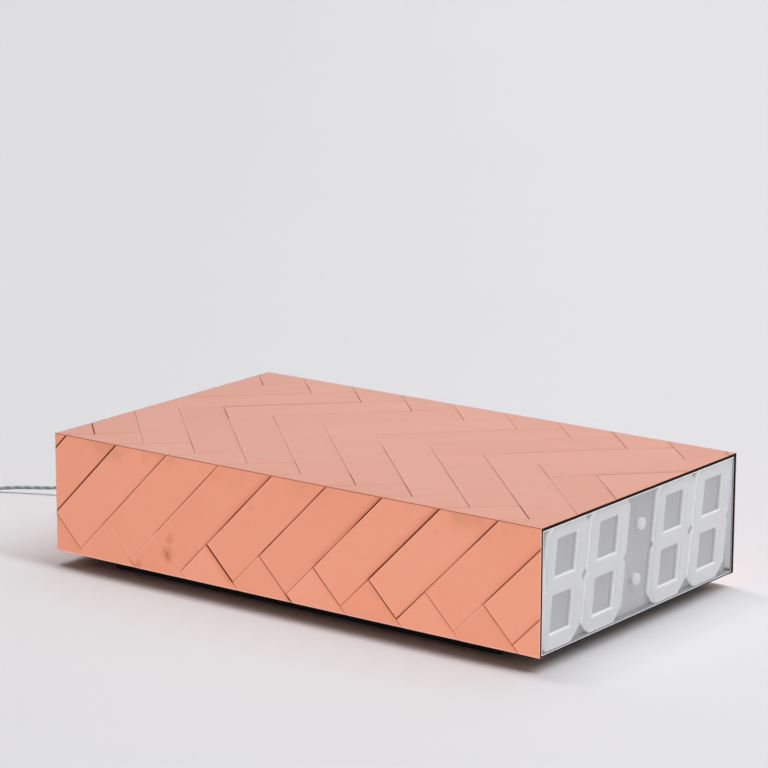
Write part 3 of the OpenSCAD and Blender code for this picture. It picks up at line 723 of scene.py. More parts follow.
def toward(distance, width):
    """1 at an edge, falling to 0 at a width away from it."""
    return max(0.0, min(1.0, 1 - distance / width))


def plank_state(course, index, along, across):
    """Height of the outer face, and the painted shade, seam shadow and edge highlight, at a place on a
    plank.
    """
    to_side = shingle_w - across
    to_end = shingle_l - along
    side_seam = seam_across(course, index, along)
    end_gap = seam_ahead(course, index)
    v = unfolded(course, index, along, across)[1]
    on_top = abs(v + lay_half) < lay_half - 0.002
    if on_top and course % 2 == 0:
        side_seam = seam_on_top(course, index, side_seam, along)
    elif on_top:
        end_gap = seam_on_top(course, index, end_gap)
    shade = side_seam
    if course == 0 and along > shingle_w and not on_top:
        shade = near_shades.get(index + 1, side_seam)
    pull = 0.45 + 0.55 * along / shingle_l
    strain = 1.0 if on_top else 0.8 + 0.5 * toward(abs(v + lay_half) - lay_half, strain_depth)
    dip = max(toward(to_side, dip_w) ** 2 * pull, toward(to_end, dip_end) ** 2)
    seed = 7.3 * course + 1.9 * index
    swell = noise.noise(Vector((along * 14, across * 22, seed)))
    waver = 1 + 0.7 * noise.noise(Vector((along * 11, across * 11, seed + 40)))
    height = -slack - sink * dip - slack * (swell + 1) * (1 - dip)
    if to_side < 0 or to_end < 0:
        height -= slack
    # Painted shade beside a seam, and a painted shadow line along the seam's gap.
    dark = 0.38 * shade * pull * toward(to_side, shade_w) ** 1.7
    for distance, opening in ((to_side, side_seam), (to_end, end_gap)):
        line = min(1.0, 0.1 + 0.9 * opening * waver * strain)
        dark = max(dark, line * min(1.0, 1.5 * toward(distance, seam_w)))
    # A painted highlight along the plank's low edges.
    painted_highlight = 0.3 * max(toward(across, highlight_w), toward(along, highlight_w))
    return height, dark - painted_highlight * (1 - min(1.0, 2 * dark))


print("heights", plank_state(0, 4, 0.2, 0.01), plank_state(0, 4, 0.2, 0.078))

# %% [markdown]
# A flat sheet is trimmed and creased with `bisect_plane`, which cuts straight through the grid and keeps
# its layers and its UV map. The round holes for the boot and the button guides are cut in the same way, by
# planes that touch a circle. Once a plank is cut, each of its vertices moves to its place on the box.


# %% Cutting tools
def slice_sheet(sheet, place, direction, clear=False, faces=None):
    """Cuts all of a sheet, or some of its faces, with a plane, and may clear what lies past it."""
    chosen = faces or sheet.faces[:]
    edges = {edge for face in chosen for edge in face.edges}
    corners = {corner for face in chosen for corner in face.verts}
    bmesh.ops.bisect_plane(sheet, geom=list(corners) + list(edges) + list(chosen), dist=1e-7, plane_co=place,
                           plane_no=direction, clear_outer=clear)


def drop_faces(sheet, unwanted):
    bmesh.ops.delete(sheet, geom=[face for face in sheet.faces if unwanted(face.calc_center_median())],
                     context="FACES")


def pierce(sheet, u, v, radius):
    """A round hole, cut by planes that touch its circle."""
    middle = Vector((u, v, 0))
    wide = 1.3 * radius

    def within(face):
        centre = face.calc_center_median()
        return abs(centre.x - u) < wide and abs(centre.y - v) < wide

    if not any(within(face) for face in sheet.faces):
        return
    for direction in ((1, 0, 0), (-1, 0, 0), (0, 1, 0), (0, -1, 0)):
        slice_sheet(sheet, middle + wide * Vector(direction), direction)
    for k in range(24):
        direction = Vector((math.cos(k * math.pi / 12), math.sin(k * math.pi / 12), 0))
        nearby = [face for face in sheet.faces if within(face)]
        slice_sheet(sheet, middle + radius * direction, direction, faces=nearby)
    drop_faces(sheet, lambda centre: (centre - Vector((u, v, centre.z))).length < radius * 0.999)


def side_v(past, sign):
    """The v of a line at a distance past the top edge of the near (1) or the far (-1) side."""
    return -lay_half + sign * (half_w + past) * lay_half / half_w


guide_hole_r = 0.0084
gland_hole_r = 0.0072
rear_holes = [(x, guide_hole_r) for x in button_xs] + [(gland_x, gland_hole_r)]
print("holes in the rear", rear_holes)


# %% Cut one plank
# Painted light at the folds: a painted brown shade on the top and rear folds, a painted highlight on the
# bottom fold.
fold_shade = 0.5
hem_highlight = -0.3


def misses_box(course, index):
    """Whether a plank lies past the display end, the rear hem or a side's hem."""
    ends = [unfolded(course, index, along, across) for along in (0, shingle_l + tuck)
            for across in (0, shingle_w + tuck)]
    u_low, u_high = min(p[0] for p in ends), max(p[0] for p in ends)
    v_low, v_high = min(p[1] for p in ends), max(p[1] for p in ends)
    past_ends = u_high < -body_h - hem or u_low > lay_l
    return past_ends or v_low > side_v(body_h + hem, 1) or v_high < side_v(body_h + hem, -1)


def cut_plank(course, index):
    """A plank as a folded sheet in a bmesh of its own, or None where it misses the box."""
    if misses_box(course, index):
        return None
    across_places = columns(shingle_w, long_seam(course, index), across_step)
    along_places = columns(shingle_l, end_seam(course, index), along_step)
    last_along = len(along_places) - 1
    last_across = len(across_places) - 1
    sheet = bmesh.new()
    painted_shading_of = sheet.verts.layers.float.new("painted_shading")
    tone_of = sheet.verts.layers.float.new("tone")
    uv = sheet.loops.layers.uv.new("plank")
    bmesh.ops.create_grid(sheet, x_segments=last_along, y_segments=last_across, size=0.5)
    tone = drawn_value(course, index, "tone")
    own = {}
    for vertex in sheet.verts:
        along = along_places[round((vertex.co.x + 0.5) * last_along)]
        across = across_places[round((vertex.co.y + 0.5) * last_across)]
        own[vertex] = (along + 3 * tone, across + 0.2 * index)
        height, vertex[painted_shading_of] = plank_state(course, index, along, across)
        vertex[tone_of] = tone
        vertex.co = (*unfolded(course, index, along, across), height)
    for face in sheet.faces:
        face.smooth = True
        for loop in face.loops:
            loop[uv].uv = own[loop.vert]
    slice_sheet(sheet, (lay_l, 0, 0), (1, 0, 0), True)
    slice_sheet(sheet, (-body_h - hem, 0, 0), (-1, 0, 0), True)
    for sign in (1, -1):
        slice_sheet(sheet, (0, side_v(body_h + hem, sign), 0), (0, sign, 0), True)
        for past in side_creases + [-corner_seam, -hem - corner_seam]:
            slice_sheet(sheet, (0, side_v(past, sign), 0), (0, sign, 0))
    for past in side_creases:
        slice_sheet(sheet, (-past, 0, 0), (1, 0, 0))
    side_line = side_v(-corner_seam, 1) + lay_half
    hem_line = side_v(-hem - corner_seam, 1) + lay_half
    drop_faces(sheet, lambda centre: centre.x < 0 and abs(centre.y + lay_half) > side_line)
    drop_faces(sheet, lambda centre: centre.x < -body_h and abs(centre.y + lay_half) > hem_line)
    for x, radius in rear_holes:
        pierce(sheet, rear_z - top_z, -x * lay_half / half_w - lay_half, radius)
    # Vertices on the top and rear folds get a painted shade, those on the bottom fold a painted highlight.
    for vertex in sheet.verts:
        past = max(abs(vertex.co.y + lay_half) * half_w / lay_half - half_w, -vertex.co.x)
        if abs(past) < 0.6 * fold_r:
            vertex[painted_shading_of] = max(vertex[painted_shading_of], fold_shade)
        elif abs(past - body_h) < 0.6 * fold_r and vertex[painted_shading_of] < 0.2:
            vertex[painted_shading_of] = hem_highlight
        vertex.co = fold(vertex.co)
    if course % 2 == 0:
        bmesh.ops.reverse_faces(sheet, faces=sheet.faces[:])
    return sheet if sheet.faces else None


grid_points = len(columns(shingle_w, 0.5, across_step)) * len(columns(shingle_l, 0.5, along_step))
print("a plank has", grid_points, "grid points")

# %% [markdown]
# The planks of one course are joined into one piece, which stands for the same course of the packed model.
# A Solidify modifier gives the sheet its quarter of a millimetre, inwards, so the outer face stays where
# it is.

# %% Lay the courses
sheet_t = 0.00025
course_pieces = {"near_lower": (-3, -2, -1), "near_fold": (0,), "top_near": (1,), "top_far": (2,),
                 "far_fold": (3,), "far_lower": (4, 5, 6)}


def lay_course(name, numbers):
    """Joins the planks of a course into one piece with a wall."""
    laid = bmesh.new()
    count = 0
    for course in numbers:
        for index in range(-9, 11):
            plank = cut_plank(course, index)
            if plank is None:
                continue
            add_form(laid, plank)
            count += 1
    for edge in laid.edges:
        edge.smooth = not edge.is_boundary
    piece = new_piece("copper_" + name, laid, "case", "copper", "shingles_" + name)
    wall = piece.modifiers.new("sheet_wall", "SOLIDIFY")
    wall.thickness = sheet_t
    wall.offset = -1.0
    print(piece.name, count, "planks", len(piece.data.polygons), "faces")
    return piece


copper_pieces = [lay_course(name, numbers) for name, numbers in course_pieces.items()]

# %% [markdown]
# ## Copper
# Bare copper sheet with a satin mill finish: a full metal, not a painted orange. Its base colour is what
# it reflects head on, and the shader lets it go paler at a grazing angle, which is why the top looks
# pinker than the side. First come the sheets themselves: each plank has its own tone, under soft haze and
# the fine rolling marks that run along it.

# %% Sheet copper
copper, tree, shader = new_finish("satin_copper", Coat_Roughness=0.15, Specular_IOR_Level=0.05)
place = object_place(tree)
tone = Socket.node(tree, "ShaderNodeAttribute", {"attribute_name": "tone"}, None, "Fac")
painted_shading = Socket.node(tree, "ShaderNodeAttribute", {"attribute_name": "painted_shading"}, None, "Fac")
plank_uv = Socket.node(tree, "ShaderNodeUVMap", {"uv_map": "plank"})
rolled = Socket.node(tree, "ShaderNodeMapping", None, {"Vector": plank_uv, "Scale": (3.0, 420.0, 1.0)})
marks = clouds(tree, rolled, 1.0, 4.0, 0.6)
haze = clouds(tree, place, 9.0, 3.0, 0.55)
stains = clouds(tree, place, 34.0, 4.0, 0.6)
sheet_share = tone * 0.45 + haze * 0.75 + marks * 0.12 - 0.25
bright = blend_colours(tree, sheet_share, rgb(0.935, 0.362, 0.224), rgb(1.0, 0.437, 0.290))
ripple = clouds(tree, place, 16.0, 1.0, 0.4) * 6.0 + marks * 0.02 + stains * 0.12
link(tree, bump(tree, ripple, 0.0005, 0.35), shader, "Normal")
print("sheet nodes", len(tree.nodes))

# %% [markdown]
# Bare copper browns where it is touched and where air stands: a few finger marks on the near side, each a
# soft spot broken up by stains, and scattered small stains. Two more terms are added: a darker band under
# the fold along the top, broken up by the haze, and a painted shade that makes the rear end a little darker.

# %% Tarnish and painted shade
finger_spots = ((0.246, 0.088, 0.015, 0.3), (0.251, 0.060, 0.020, 0.75), (0.315, 0.030, 0.014, 0.6),
                (0.070, 0.172, 0.010, 0.4))
finger_marks = 0.0
for y, z, size, strength in finger_spots:
    inputs = {0: place, 1: (-half_w, y, z)}
    away = Socket.node(tree, "ShaderNodeVectorMath", {"operation": "DISTANCE"}, inputs, "Value")
    spot = (1 - rise(tree, away, 0.0, size)) * rise(tree, stains, 0.35, 0.65)
    finger_marks = finger_marks + spot * strength
rearward = one_axis(tree, place, "Y")
level = one_axis(tree, place, "Z")
below_top = rise(tree, level, top_z - 0.045, top_z - 0.002) * (1 - rise(tree, level, top_z - 0.002, top_z))
under_fold = below_top * rise(tree, haze, 0.42, 0.62)
# Painted shade: the rear end of the copper is a little darker.
rear_shade = rise(tree, rearward, 0.1, 0.5)
tarnish_and_shade = finger_marks + rise(tree, stains, 0.62, 0.85) * 0.16 + under_fold * 0.22 + rear_shade * 0.1
tarnished_and_shaded = blend_colours(tree, tarnish_and_shade, bright, rgb(0.48, 0.115, 0.030))
print("finger marks", len(finger_spots))

# %% [markdown]
# A seam is a narrow gap, and its dark line is a painted shadow. Dark metal seen at a low angle would still
# mirror the pale room, so the seam stops being metal and becomes a dull dark brown. Painted highlights go
# the
# other way: the lower edge, the edge by the display and the low edges of the planks are painted bright.

# %% Seams and edges: painted shadow and highlights
side_low = top_z - body_h
# Painted shade beside the seams and on the top folds, and a painted shadow in the seams.
shaded_lap = blend_colours(tree, rise(tree, painted_shading, 0.0, 0.5) * 0.75, tarnished_and_shaded, rgb(0.50, 0.105, 0.035))
seam_shadow = rise(tree, painted_shading, 0.35, 1.0)
seamed = blend_colours(tree, seam_shadow, shaded_lap, rgb(0.17, 0.012, 0.002))
link(tree, 1 - seam_shadow, shader, "Metallic")
# Painted highlights along the edges.
edge_highlights = rise(tree, 0 - painted_shading, 0.0, 0.35)
bottom_highlight = 1 - rise(tree, level, side_low + 0.0018, side_low + 0.0035)
by_display = 1 - rise(tree, rearward, 0.0018 - rear_y, 0.003 - rear_y)
front_highlight = by_display * (1 - rise(tree, level, top_z - 0.007, top_z - 0.003))
painted_highlight = edge_highlights * 0.6 + bottom_highlight * 0.6 + front_highlight * 0.4
link(tree, blend_colours(tree, painted_highlight, seamed, rgb(1.0, 0.60, 0.47)), shader, "Base Color")
link(tree, 0.2 - rise(tree, painted_shading, 0.0, 0.6) * 0.2, shader, "Coat Weight")
link(tree, haze * 0.12 + marks * 0.06 + seam_shadow * 0.5 + 0.24, shader, "Roughness")
for piece in copper_pieces:
    piece.data.materials.append(copper)
print("copper nodes", len(tree.nodes))

# %% [markdown]
# ## The display
# Four moulded white digits stand in front of a grey panel, behind a clear pane with a ground bevel. The
# digits are unlit, so they show as opal plastic: white faces with soft edges, and sides that are painted
# grey towards the back, a painted shade. The outline is drawn flat, filled, drawn out to its depth and
# bevelled at the front.

# %% Outline of a digit
digit_w = 0.11148
digit_h = 0.200
digit_face = -0.4962
digit_back = -0.4852
digit_xs = (-0.21955, -0.09807, 0.09891, 0.22040)
middle_z = 0.1285
stroke = 0.024
mid_stroke = 0.026
top_bevel = 0.016
bottom_bevel = 0.022
notch_depth = 0.0075
notch_half = 0.009
lean = math.tan(math.radians(8))
colon_rise = 0.045
colon_spots = [(sign * colon_rise * lean, middle_z + sign * colon_rise) for sign in (-1, 1)]


def digit_lines():
    """The outer line and the two counters of a figure eight, upright, about its middle."""
    w = digit_w / 2
    h = digit_h / 2
    right = [(w - top_bevel, h), (w, h - top_bevel), (w, notch_half), (w - notch_depth, 0), (w, -notch_half),
             (w, bottom_bevel - h), (w - bottom_bevel, -h)]
    outer = right + [(-x, z) for x, z in reversed(right)]
    hole_w = w - stroke
    hole_top = h - stroke
    hole_low = mid_stroke / 2
    upper = [(-hole_w, hole_low), (hole_w, hole_low), (hole_w, hole_top), (-hole_w, hole_top)]
    return [outer, upper, [(x, -z) for x, z in upper]]


print("digit", digit_w, "by", digit_h)


# %% Mould the digits
def moulded(lines, x, z, rounding):
    """Fills flat lines, draws them out to the digit's depth and rounds the front edges."""
    form = bmesh.new()
    for line in lines:
        corners = [form.verts.new((x + px + pz * lean, digit_back, z + pz)) for px, pz in line]
        for k in range(len(corners)):
            form.edges.new((corners[k - 1], corners[k]))
    bmesh.ops.triangle_fill(form, edges=form.edges[:], use_beauty=True, use_dissolve=True)
    grown = bmesh.ops.extrude_face_region(form, geom=form.faces[:])["geom"]
    front = [v for v in grown if isinstance(v, bmesh.types.BMVert)]
    bmesh.ops.translate(form, vec=(0, digit_face - digit_back, 0), verts=front)
    bmesh.ops.recalc_face_normals(form, faces=form.faces[:])
    ridge = [edge for edge in form.edges if len(edge.link_faces) == 2 and edge.calc_face_angle() > 0.5
             and all(abs(v.co.y - digit_face) < 1e-6 for v in edge.verts)]
    bmesh.ops.bevel(form, geom=ridge, offset=rounding, segments=3, profile=0.5, affect="EDGES", material=-1)
    return form


digit_rounding = 0.0009
digits = []
for number, x in enumerate(digit_xs, 1):
    shape = moulded(digit_lines(), x, middle_z, digit_rounding)
    digits.append(crisp(new_piece(f"opal_digit_{number}", shape, "case", "white_digit", f"digit_{number}")))
print("digit faces", len(digits[0].data.polygons))

# %% Mould the colon
dot_profile = [(0, -485.2), (10, -485.2), (10, -495.2), (9.7, -495.9), (9.0, -496.2), (0, -496.2)]
colon_form = bmesh.new()
for x, z in colon_spots:
    add_form(colon_form, turned(dot_profile, x, z))
colon = crisp(new_piece("opal_colon", colon_form, "case", "white_digit", "colon_dots"))
print("colon faces", len(colon.data.polygons))

# %% [markdown]
# The pane is cut from clear sheet with a ground bevel all round. Its broad faces are nearly invisible, and
# the bevel is ground white with a painted glow, which is the pale line inside the black joint; the glow is
# brightest along the bottom. A box is bevelled at its four front edges only, and the new faces get the
# second material. A low alpha keeps the digits lit through the pane, where true refraction would cost much
# more time.

# %% Pane
ground_w = 0.0018
pane_low, pane_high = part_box("front_pane")
pane_mesh = bmesh.new()
bmesh.ops.create_cube(pane_mesh, size=1.0)
bmesh.ops.scale(pane_mesh, vec=pane_high - pane_low, verts=pane_mesh.verts[:])
bmesh.ops.translate(pane_mesh, vec=(pane_low + pane_high) / 2, verts=pane_mesh.verts[:])
front_edges = [e for e in pane_mesh.edges if all(abs(v.co.y - pane_low.y) < 1e-6 for v in e.verts)]
ground = bmesh.ops.bevel(pane_mesh, geom=front_edges, offset=ground_w, segments=1, profile=0.5,
                         affect="EDGES", material=1)
pane = new_piece("clear_front_pane", pane_mesh, "case", "clear_pane", "front_pane")
print("bevel faces", len(ground["faces"]))

# %% Pane finishes
clear, tree, shader = new_finish("clear_sheet", Roughness=0.06, Base_Color=rgb(0.86, 0.88, 0.90), Alpha=0.07)
specks = clouds(tree, object_place(tree), 6.0, 2.0)
link(tree, specks * 0.03 + 0.05, shader, "Alpha")
# The ground bevel glows: a painted glow, brightest along the bottom edge.
frosted_and_glowing, tree, shader = new_finish("ground_bevel_glowing", Alpha=0.95, Emission_Strength=0.9)
place = object_place(tree)
grain = clouds(tree, place, 900.0, 2.0)
level = one_axis(tree, place, "Z")
bottom_glow = 1 - rise(tree, level, pane_low.z + 0.0015, pane_low.z + 0.004)
link(tree, blend_colours(tree, grain, rgb(0.93, 0.94, 0.94), rgb(0.97, 0.98, 0.98)), shader, "Base Color")
link(tree, grain * 0.2 + 0.45, shader, "Roughness")
link(tree, blend_colours(tree, bottom_glow, grey(0.30), grey(1.0)), shader, "Emission Color")
pane.data.materials.append(clear)
pane.data.materials.append(frosted_and_glowing)
print("pane finishes", clear.name, frosted_and_glowing.name)

# %% [markdown]
# Opal plastic lets light in and gives it back a little further on, so the digits get subsurface
# scattering. In the narrow gaps their sides would still be too dark, because real light goes from digit to
# digit through the plastic. So the sides also get a small painted glow, less with depth, over a painted
# shade that greys them with depth, and the panel and the rim's upright faces get a faint painted glow as
# well.


# %% Opal digits
def opal_finish(name, fade_from, fade_to, glow):
    """White opal plastic whose walls get a small painted glow and a painted shade that greys them between
    two depths behind its face.
    """
    material, tree, shader = new_finish(name, IOR=1.49, Subsurface_Weight=0.8, Subsurface_Scale=0.010,
                                        Subsurface_Radius=(1, 1, 1), Emission_Strength=glow)
    place = object_place(tree)
    depth = one_axis(tree, place, "Y")
    # Painted shade: the walls grey with depth.
    depth_shade = rise(tree, depth, digit_face + fade_from, digit_face + fade_to)
    mottle = clouds(tree, place, 40.0, 3.0)
    face_white = blend_colours(tree, mottle, rgb(0.87, 0.875, 0.89), rgb(0.91, 0.915, 0.93))
    link(tree, blend_colours(tree, depth_shade, face_white, rgb(0.60, 0.60, 0.61)), shader, "Base Color")
    # Painted glow on the walls, less with depth.
    walls = rise(tree, depth, digit_face + 0.0006, digit_face + 0.002) * (1 - depth_shade * 0.7)
    link(tree, blend_colours(tree, walls, grey(0.0), grey(1.0)), shader, "Emission Color")
    link(tree, mottle * 0.1 + 0.38, shader, "Roughness")
    link(tree, bump(tree, clouds(tree, place, 700.0, 2.0), 0.00005, 0.3), shader, "Normal")
    return material


opal = opal_finish("opal_plastic", 0.003, 0.011, 0.23)
for piece in digits:
    piece.data.materials.append(opal)
colon.data.materials.append(opal_finish("opal_colon", 0.0005, 0.0045, 0.25))
print("opal on", len(digits) + 1, "pieces")

# %% Panel and rim
# The panel's faint white emission is a painted glow that evens out its shade.
panel_grey, tree, shader = new_finish("satin_grey_panel", Emission_Color=grey(1.0), Emission_Strength=0.10)
place = object_place(tree)
fine = clouds(tree, place, 1400.0, 2.0)
mottle = clouds(tree, place, 14.0, 3.0) * 0.6 + fine * 0.3
link(tree, blend_colours(tree, mottle, rgb(0.42, 0.42, 0.43), rgb(0.48, 0.48, 0.49)), shader, "Base Color")
link(tree, fine * 0.2 + 0.5, shader, "Roughness")
link(tree, bump(tree, fine, 0.00008, 0.4), shader, "Normal")
finish_nodes(panel_grey, "display_panel")
# The rim's upright faces are painted pale and given a painted glow, and its low face is painted dark grey:
# painted light and shade, over a faint dust mottle.
rim_grey, tree, shader = new_finish("grey_rim_painted_light", Emission_Strength=0.14)
place = object_place(tree)
upright = rise(tree, one_axis(tree, place, "Z"), pane_low.z + 0.003, pane_low.z + 0.008)
dust_and_painted_light = clouds(tree, place, 14.0, 3.0) * 0.1 + upright * 0.9
link(tree, blend_colours(tree, dust_and_painted_light, rgb(0.30, 0.30, 0.31), rgb(0.80, 0.80, 0.81)), shader, "Base Color")
link(tree, blend_colours(tree, upright, grey(0.0), grey(1.0)), shader, "Emission Color")
link(tree, clouds(tree, place, 1400.0, 2.0) * 0.2 + 0.5, shader, "Roughness")
finish_nodes(rim_grey, "display_rim")

# %% [markdown]
# ## Black, wood and metal parts
# The joint round the pane, the plinth, the plastic pieces and the pads are all black but not the same
# black: paint on wood shows its grain, moulded plastic has a fine spark texture, and rubber is dull and
# dusty.


# %% Black finishes
def black_finish(name, colour, roughness, grain_scale, depth, stretch=(1, 1, 1), gloss=0.35):
    """A near black with a raised grain and a little dust."""
    material, tree, shader = new_finish(name, Specular_IOR_Level=gloss)
    grain = clouds(tree, object_place(tree, stretch), grain_scale, 3.0)
    dust = clouds(tree, object_place(tree), 25.0, 4.0)
    lighter = tuple(2.2 * channel + 0.008 for channel in colour)
    dusty = blend_colours(tree, grain * 0.6 + dust * 0.4, rgb(*colour), rgb(*lighter))
    link(tree, dusty, shader, "Base Color")
    link(tree, dust * 0.2 + (roughness - 0.1), shader, "Roughness")
    link(tree, bump(tree, grain, depth, 0.5), shader, "Normal")
    return material


paint = black_finish("black_paint", (0.005, 0.005, 0.005), 0.7, 60.0, 0.0002, (8, 1, 8), 0.08)
rubber = black_finish("black_rubber", (0.010, 0.010, 0.010), 0.75, 900.0, 0.0001, (1, 1, 1), 0.15)
matt_black = black_finish("matt_black_rim", (0.004, 0.004, 0.004), 0.7, 700.0, 0.00005, (1, 1, 1), 0.06)
plastic = black_finish("moulded_black", (0.016, 0.016, 0.017), 0.42, 1500.0, 0.00004)
# On the base board the black paint is a painted shade that keeps the space under the box dark.
finish_nodes(paint, "plinth_side_rails", "plinth_end_rails", "base_board")
finish_nodes(rubber, "foot_pads", "display_loom", "supply_lead", "button_loom", "mains_lead")
finish_nodes(matt_black, "pane_gasket")
finish_nodes(plastic, "gland_nut", "control_parts", "display_header", "button_switches")
for piece in [gland, guides, plug, tie] + buttons:
    piece.data.materials.append(plastic)
print("black finishes on", len(buttons) + 4, "pieces")

# %% [markdown]
# The carcass is birch plywood and is seen only inside. Its grain runs along the boards, so one noise is
# drawn out along Y, and broader patches lie over it.

# %% Birch plywood
birch, tree, shader = new_finish("birch_plywood", Specular_IOR_Level=0.3)
grain = clouds(tree, object_place(tree, (60, 3, 60)), 1.0, 5.0, 0.6)
patches = clouds(tree, object_place(tree), 6.0, 3.0)
wood = blend_colours(tree, grain * 0.7 + patches * 0.3, rgb(0.50, 0.33, 0.17), rgb(0.74, 0.57, 0.37))
link(tree, wood, shader, "Base Color")
link(tree, grain * 0.15 + 0.55, shader, "Roughness")
link(tree, bump(tree, grain, 0.0002, 0.4), shader, "Normal")
finish_nodes(birch, "top_board", "side_board_left", "side_board_right", "rear_board", "display_bulkhead",
             "centre_rib", "base_battens")

# %% [markdown]
# The circuit boards are green lacquer over copper tracks, and a Voronoi texture with square distances
# draws such tracks in one node. The metal parts share one function: fine lines, drawn out the way the
# metal was brushed, turned or plated.

# %% Circuit boards
solder_mask, tree, shader = new_finish("solder_mask", IOR=1.5)
inputs = {"Vector": object_place(tree), "Scale": 260.0}
tracks = Socket.node(tree, "ShaderNodeTexVoronoi", {"distance": "MANHATTAN"}, inputs)
copper_under = rise(tree, tracks, 0.30, 0.36)
green = blend_colours(tree, copper_under, rgb(0.012, 0.10, 0.045), rgb(0.03, 0.20, 0.09))
link(tree, green, shader, "Base Color")
link(tree, copper_under * 0.1 + 0.3, shader, "Roughness")
finish_nodes(solder_mask, "digit_board_1", "digit_board_2", "digit_board_3", "digit_board_4", "colon_boards",
             "control_board", "button_board")


# %% Metal parts
def metal_finish(name, dull, shiny, roughness, stretch):
    """Bare metal with fine lines from a dull to a shiny colour."""
    material, tree, shader = new_finish(name, Metallic=1.0)
    lines = clouds(tree, object_place(tree, stretch), 1.0, 4.0, 0.6)
    link(tree, blend_colours(tree, lines, rgb(*dull), rgb(*shiny)), shader, "Base Color")
    link(tree, lines * 0.2 + roughness, shader, "Roughness")
    link(tree, bump(tree, lines, 0.00003, 0.3), shader, "Normal")
    return material


finish_nodes(metal_finish("brushed_aluminium", (0.50, 0.50, 0.52), (0.70, 0.70, 0.72), 0.3, (900, 8, 900)),
             "power_supply")
finish_nodes(metal_finish("bright_brass", (0.62, 0.46, 0.22), (0.80, 0.64, 0.36), 0.2, (300, 300, 300)),
             "board_standoffs", "button_standoffs")
finish_nodes(metal_finish("nickel_plate", (0.62, 0.61, 0.58), (0.78, 0.77, 0.74), 0.15, (400, 400, 400)),
             "plug_pins")

# %% [markdown]
# ## Floor and light
# The clock was photographed in a pale studio, so the scene has one wide pale floor under a bright dome.
# Copper is a mirror, and it shows the room more than the lamps. So the room's look and the room's light
# are kept apart with the Light Path node. Rays that see the dome, also in the copper, get the pale studio,
# which is dimmer overhead, to the left and behind the camera, and the floor is paler in the copper than to
# the eye. Rays that light the object get a soft sky from above and the far side, and a little low light
# from the front that reaches the display.

# %% Floor
floor_r = 60.0
floor_drop = 0.0003
left_way = (-0.6, 0.8, 0.0)
floor_form = bmesh.new()
bmesh.ops.create_circle(floor_form, cap_ends=True, segments=64, radius=floor_r)
floor = bpy.data.objects.new("studio_floor", to_mesh("studio_floor", floor_form))
floor.location.z = -floor_drop
bpy.context.scene.collection.objects.link(floor)
studio, tree, shader = new_finish("studio_floor", Roughness=0.9, Specular_IOR_Level=0.1)
place = object_place(tree)
# Painted shade: the floor is a little darker towards the rear left, under a soft mottle.
dimmer = clouds(tree, place, 0.6, 2.0) * 0.2 + rise(tree, along_way(tree, place, left_way), -1.0, 1.0) * 0.8
floor_white = blend_colours(tree, dimmer, rgb(0.825, 0.815, 0.84), rgb(0.76, 0.753, 0.765))
link(tree, floor_white, shader, "Base Color")
in_gloss = Socket.node(tree, "ShaderNodeLightPath", None, None, "Is Glossy Ray")
pale_glow = Socket.node(tree, "ShaderNodeEmission", None, {"Color": rgb(1.0, 0.98, 0.985), "Strength": 1.0})
shares = {0: in_gloss * 0.55, 1: Socket(shader.outputs[0]), 2: pale_glow}
floor_look = Socket.node(tree, "ShaderNodeMixShader", None, shares)
floor_end = next(n for n in tree.nodes if n.type == "OUTPUT_MATERIAL")
link(tree, floor_look, floor_end, "Surface")
floor.data.materials.append(studio)
print("floor radius", floor_r)

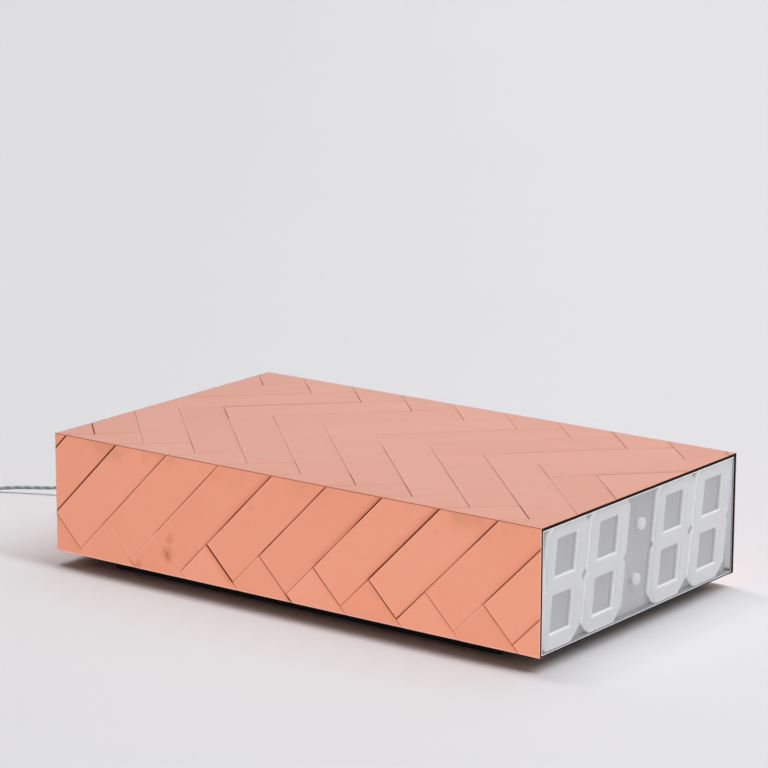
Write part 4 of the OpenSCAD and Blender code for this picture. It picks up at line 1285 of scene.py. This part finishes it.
# %% Look of the dome
camera_way = (-0.80, -0.60, 0.0)
world = bpy.data.worlds.new("studio_dome")
bpy.context.scene.world = world
world.use_nodes = True
tree = world.node_tree
tree.nodes.clear()
direction = Socket.node(tree, "ShaderNodeTexCoord", out="Generated")
height = one_axis(tree, direction, "Z")
overhead = rise(tree, height, 0.30, 0.95)
behind = rise(tree, along_way(tree, direction, camera_way), 0.25, 0.95)
left_dim = rise(tree, along_way(tree, direction, left_way), -0.3, 0.3, 0.0, 0.09)
shaded = 1 - (1 - overhead * 0.47) * (1 - behind * 0.5) * (1 - left_dim)
look = blend_colours(tree, shaded, rgb(0.81, 0.832, 0.86), grey(0.10))
studio_look = Socket.node(tree, "ShaderNodeBackground", None, {"Color": look, "Strength": 1.0})
print("look nodes", len(tree.nodes))

# %% Light of the dome
far_light = rise(tree, one_axis(tree, direction, "X"), -0.5, 0.5, 0.02, 1.0)
sky_light = rise(tree, height, 0.28, 1.0, 0.0, 1.05) * far_light
front_light = rise(tree, 0 - one_axis(tree, direction, "Y"), 0.8, 1.0, 0.0, 0.75)
inputs = {"Color": rgb(0.98, 0.98, 1.0), "Strength": sky_light + front_light}
studio_light = Socket.node(tree, "ShaderNodeBackground", None, inputs)
seen = Socket.node(tree, "ShaderNodeLightPath", None, None, "Is Camera Ray")
for kind in ("Is Glossy Ray", "Is Transmission Ray"):
    seen = seen.apply("MAXIMUM", Socket.node(tree, "ShaderNodeLightPath", None, None, kind))
mixed = Socket.node(tree, "ShaderNodeMixShader", None, {0: seen, 1: studio_light, 2: studio_look})
Socket.node(tree, "ShaderNodeOutputWorld", None, {"Surface": mixed})
print("dome nodes", len(tree.nodes))

# %% [markdown]
# The shadow is soft before the display and nearly crisp along the near side, as under one long soft box
# overhead. An area lamp of that length would also spread the shadow sideways, so a row of narrow suns
# stands for it. All lean a little to the far side, and their tilts run from behind the clock to well in
# front of it.

# %% Long soft box
lamp_tilts = (-22, -11, 0, 11, 22, 33, 44)
lamp_lean = 0.085
lamp_far = 4.0
lamp_power = 0.32
lamp_spread = math.radians(8)
for number, tilt in enumerate(lamp_tilts, 1):
    lamp_data = bpy.data.lights.new(f"long_box_{number}", "SUN")
    lamp_data.energy = lamp_power
    lamp_data.angle = lamp_spread
    lamp = bpy.data.objects.new(f"long_box_{number}", lamp_data)
    lamp.location = lamp_far * Vector((lamp_lean, -math.tan(math.radians(tilt)), 1))
    lamp.rotation_mode = "QUATERNION"
    lamp.rotation_quaternion = (-lamp.location).to_track_quat("-Z", "Y")
    bpy.context.scene.collection.objects.link(lamp)
bpy.context.scene.view_settings.view_transform = "Standard"
print("lamps", len(lamp_tilts))

# %% [markdown]
# ## Last update
# The last line brings the placement of every piece up to date.

# %% Update the view layer
bpy.context.view_layer.update()
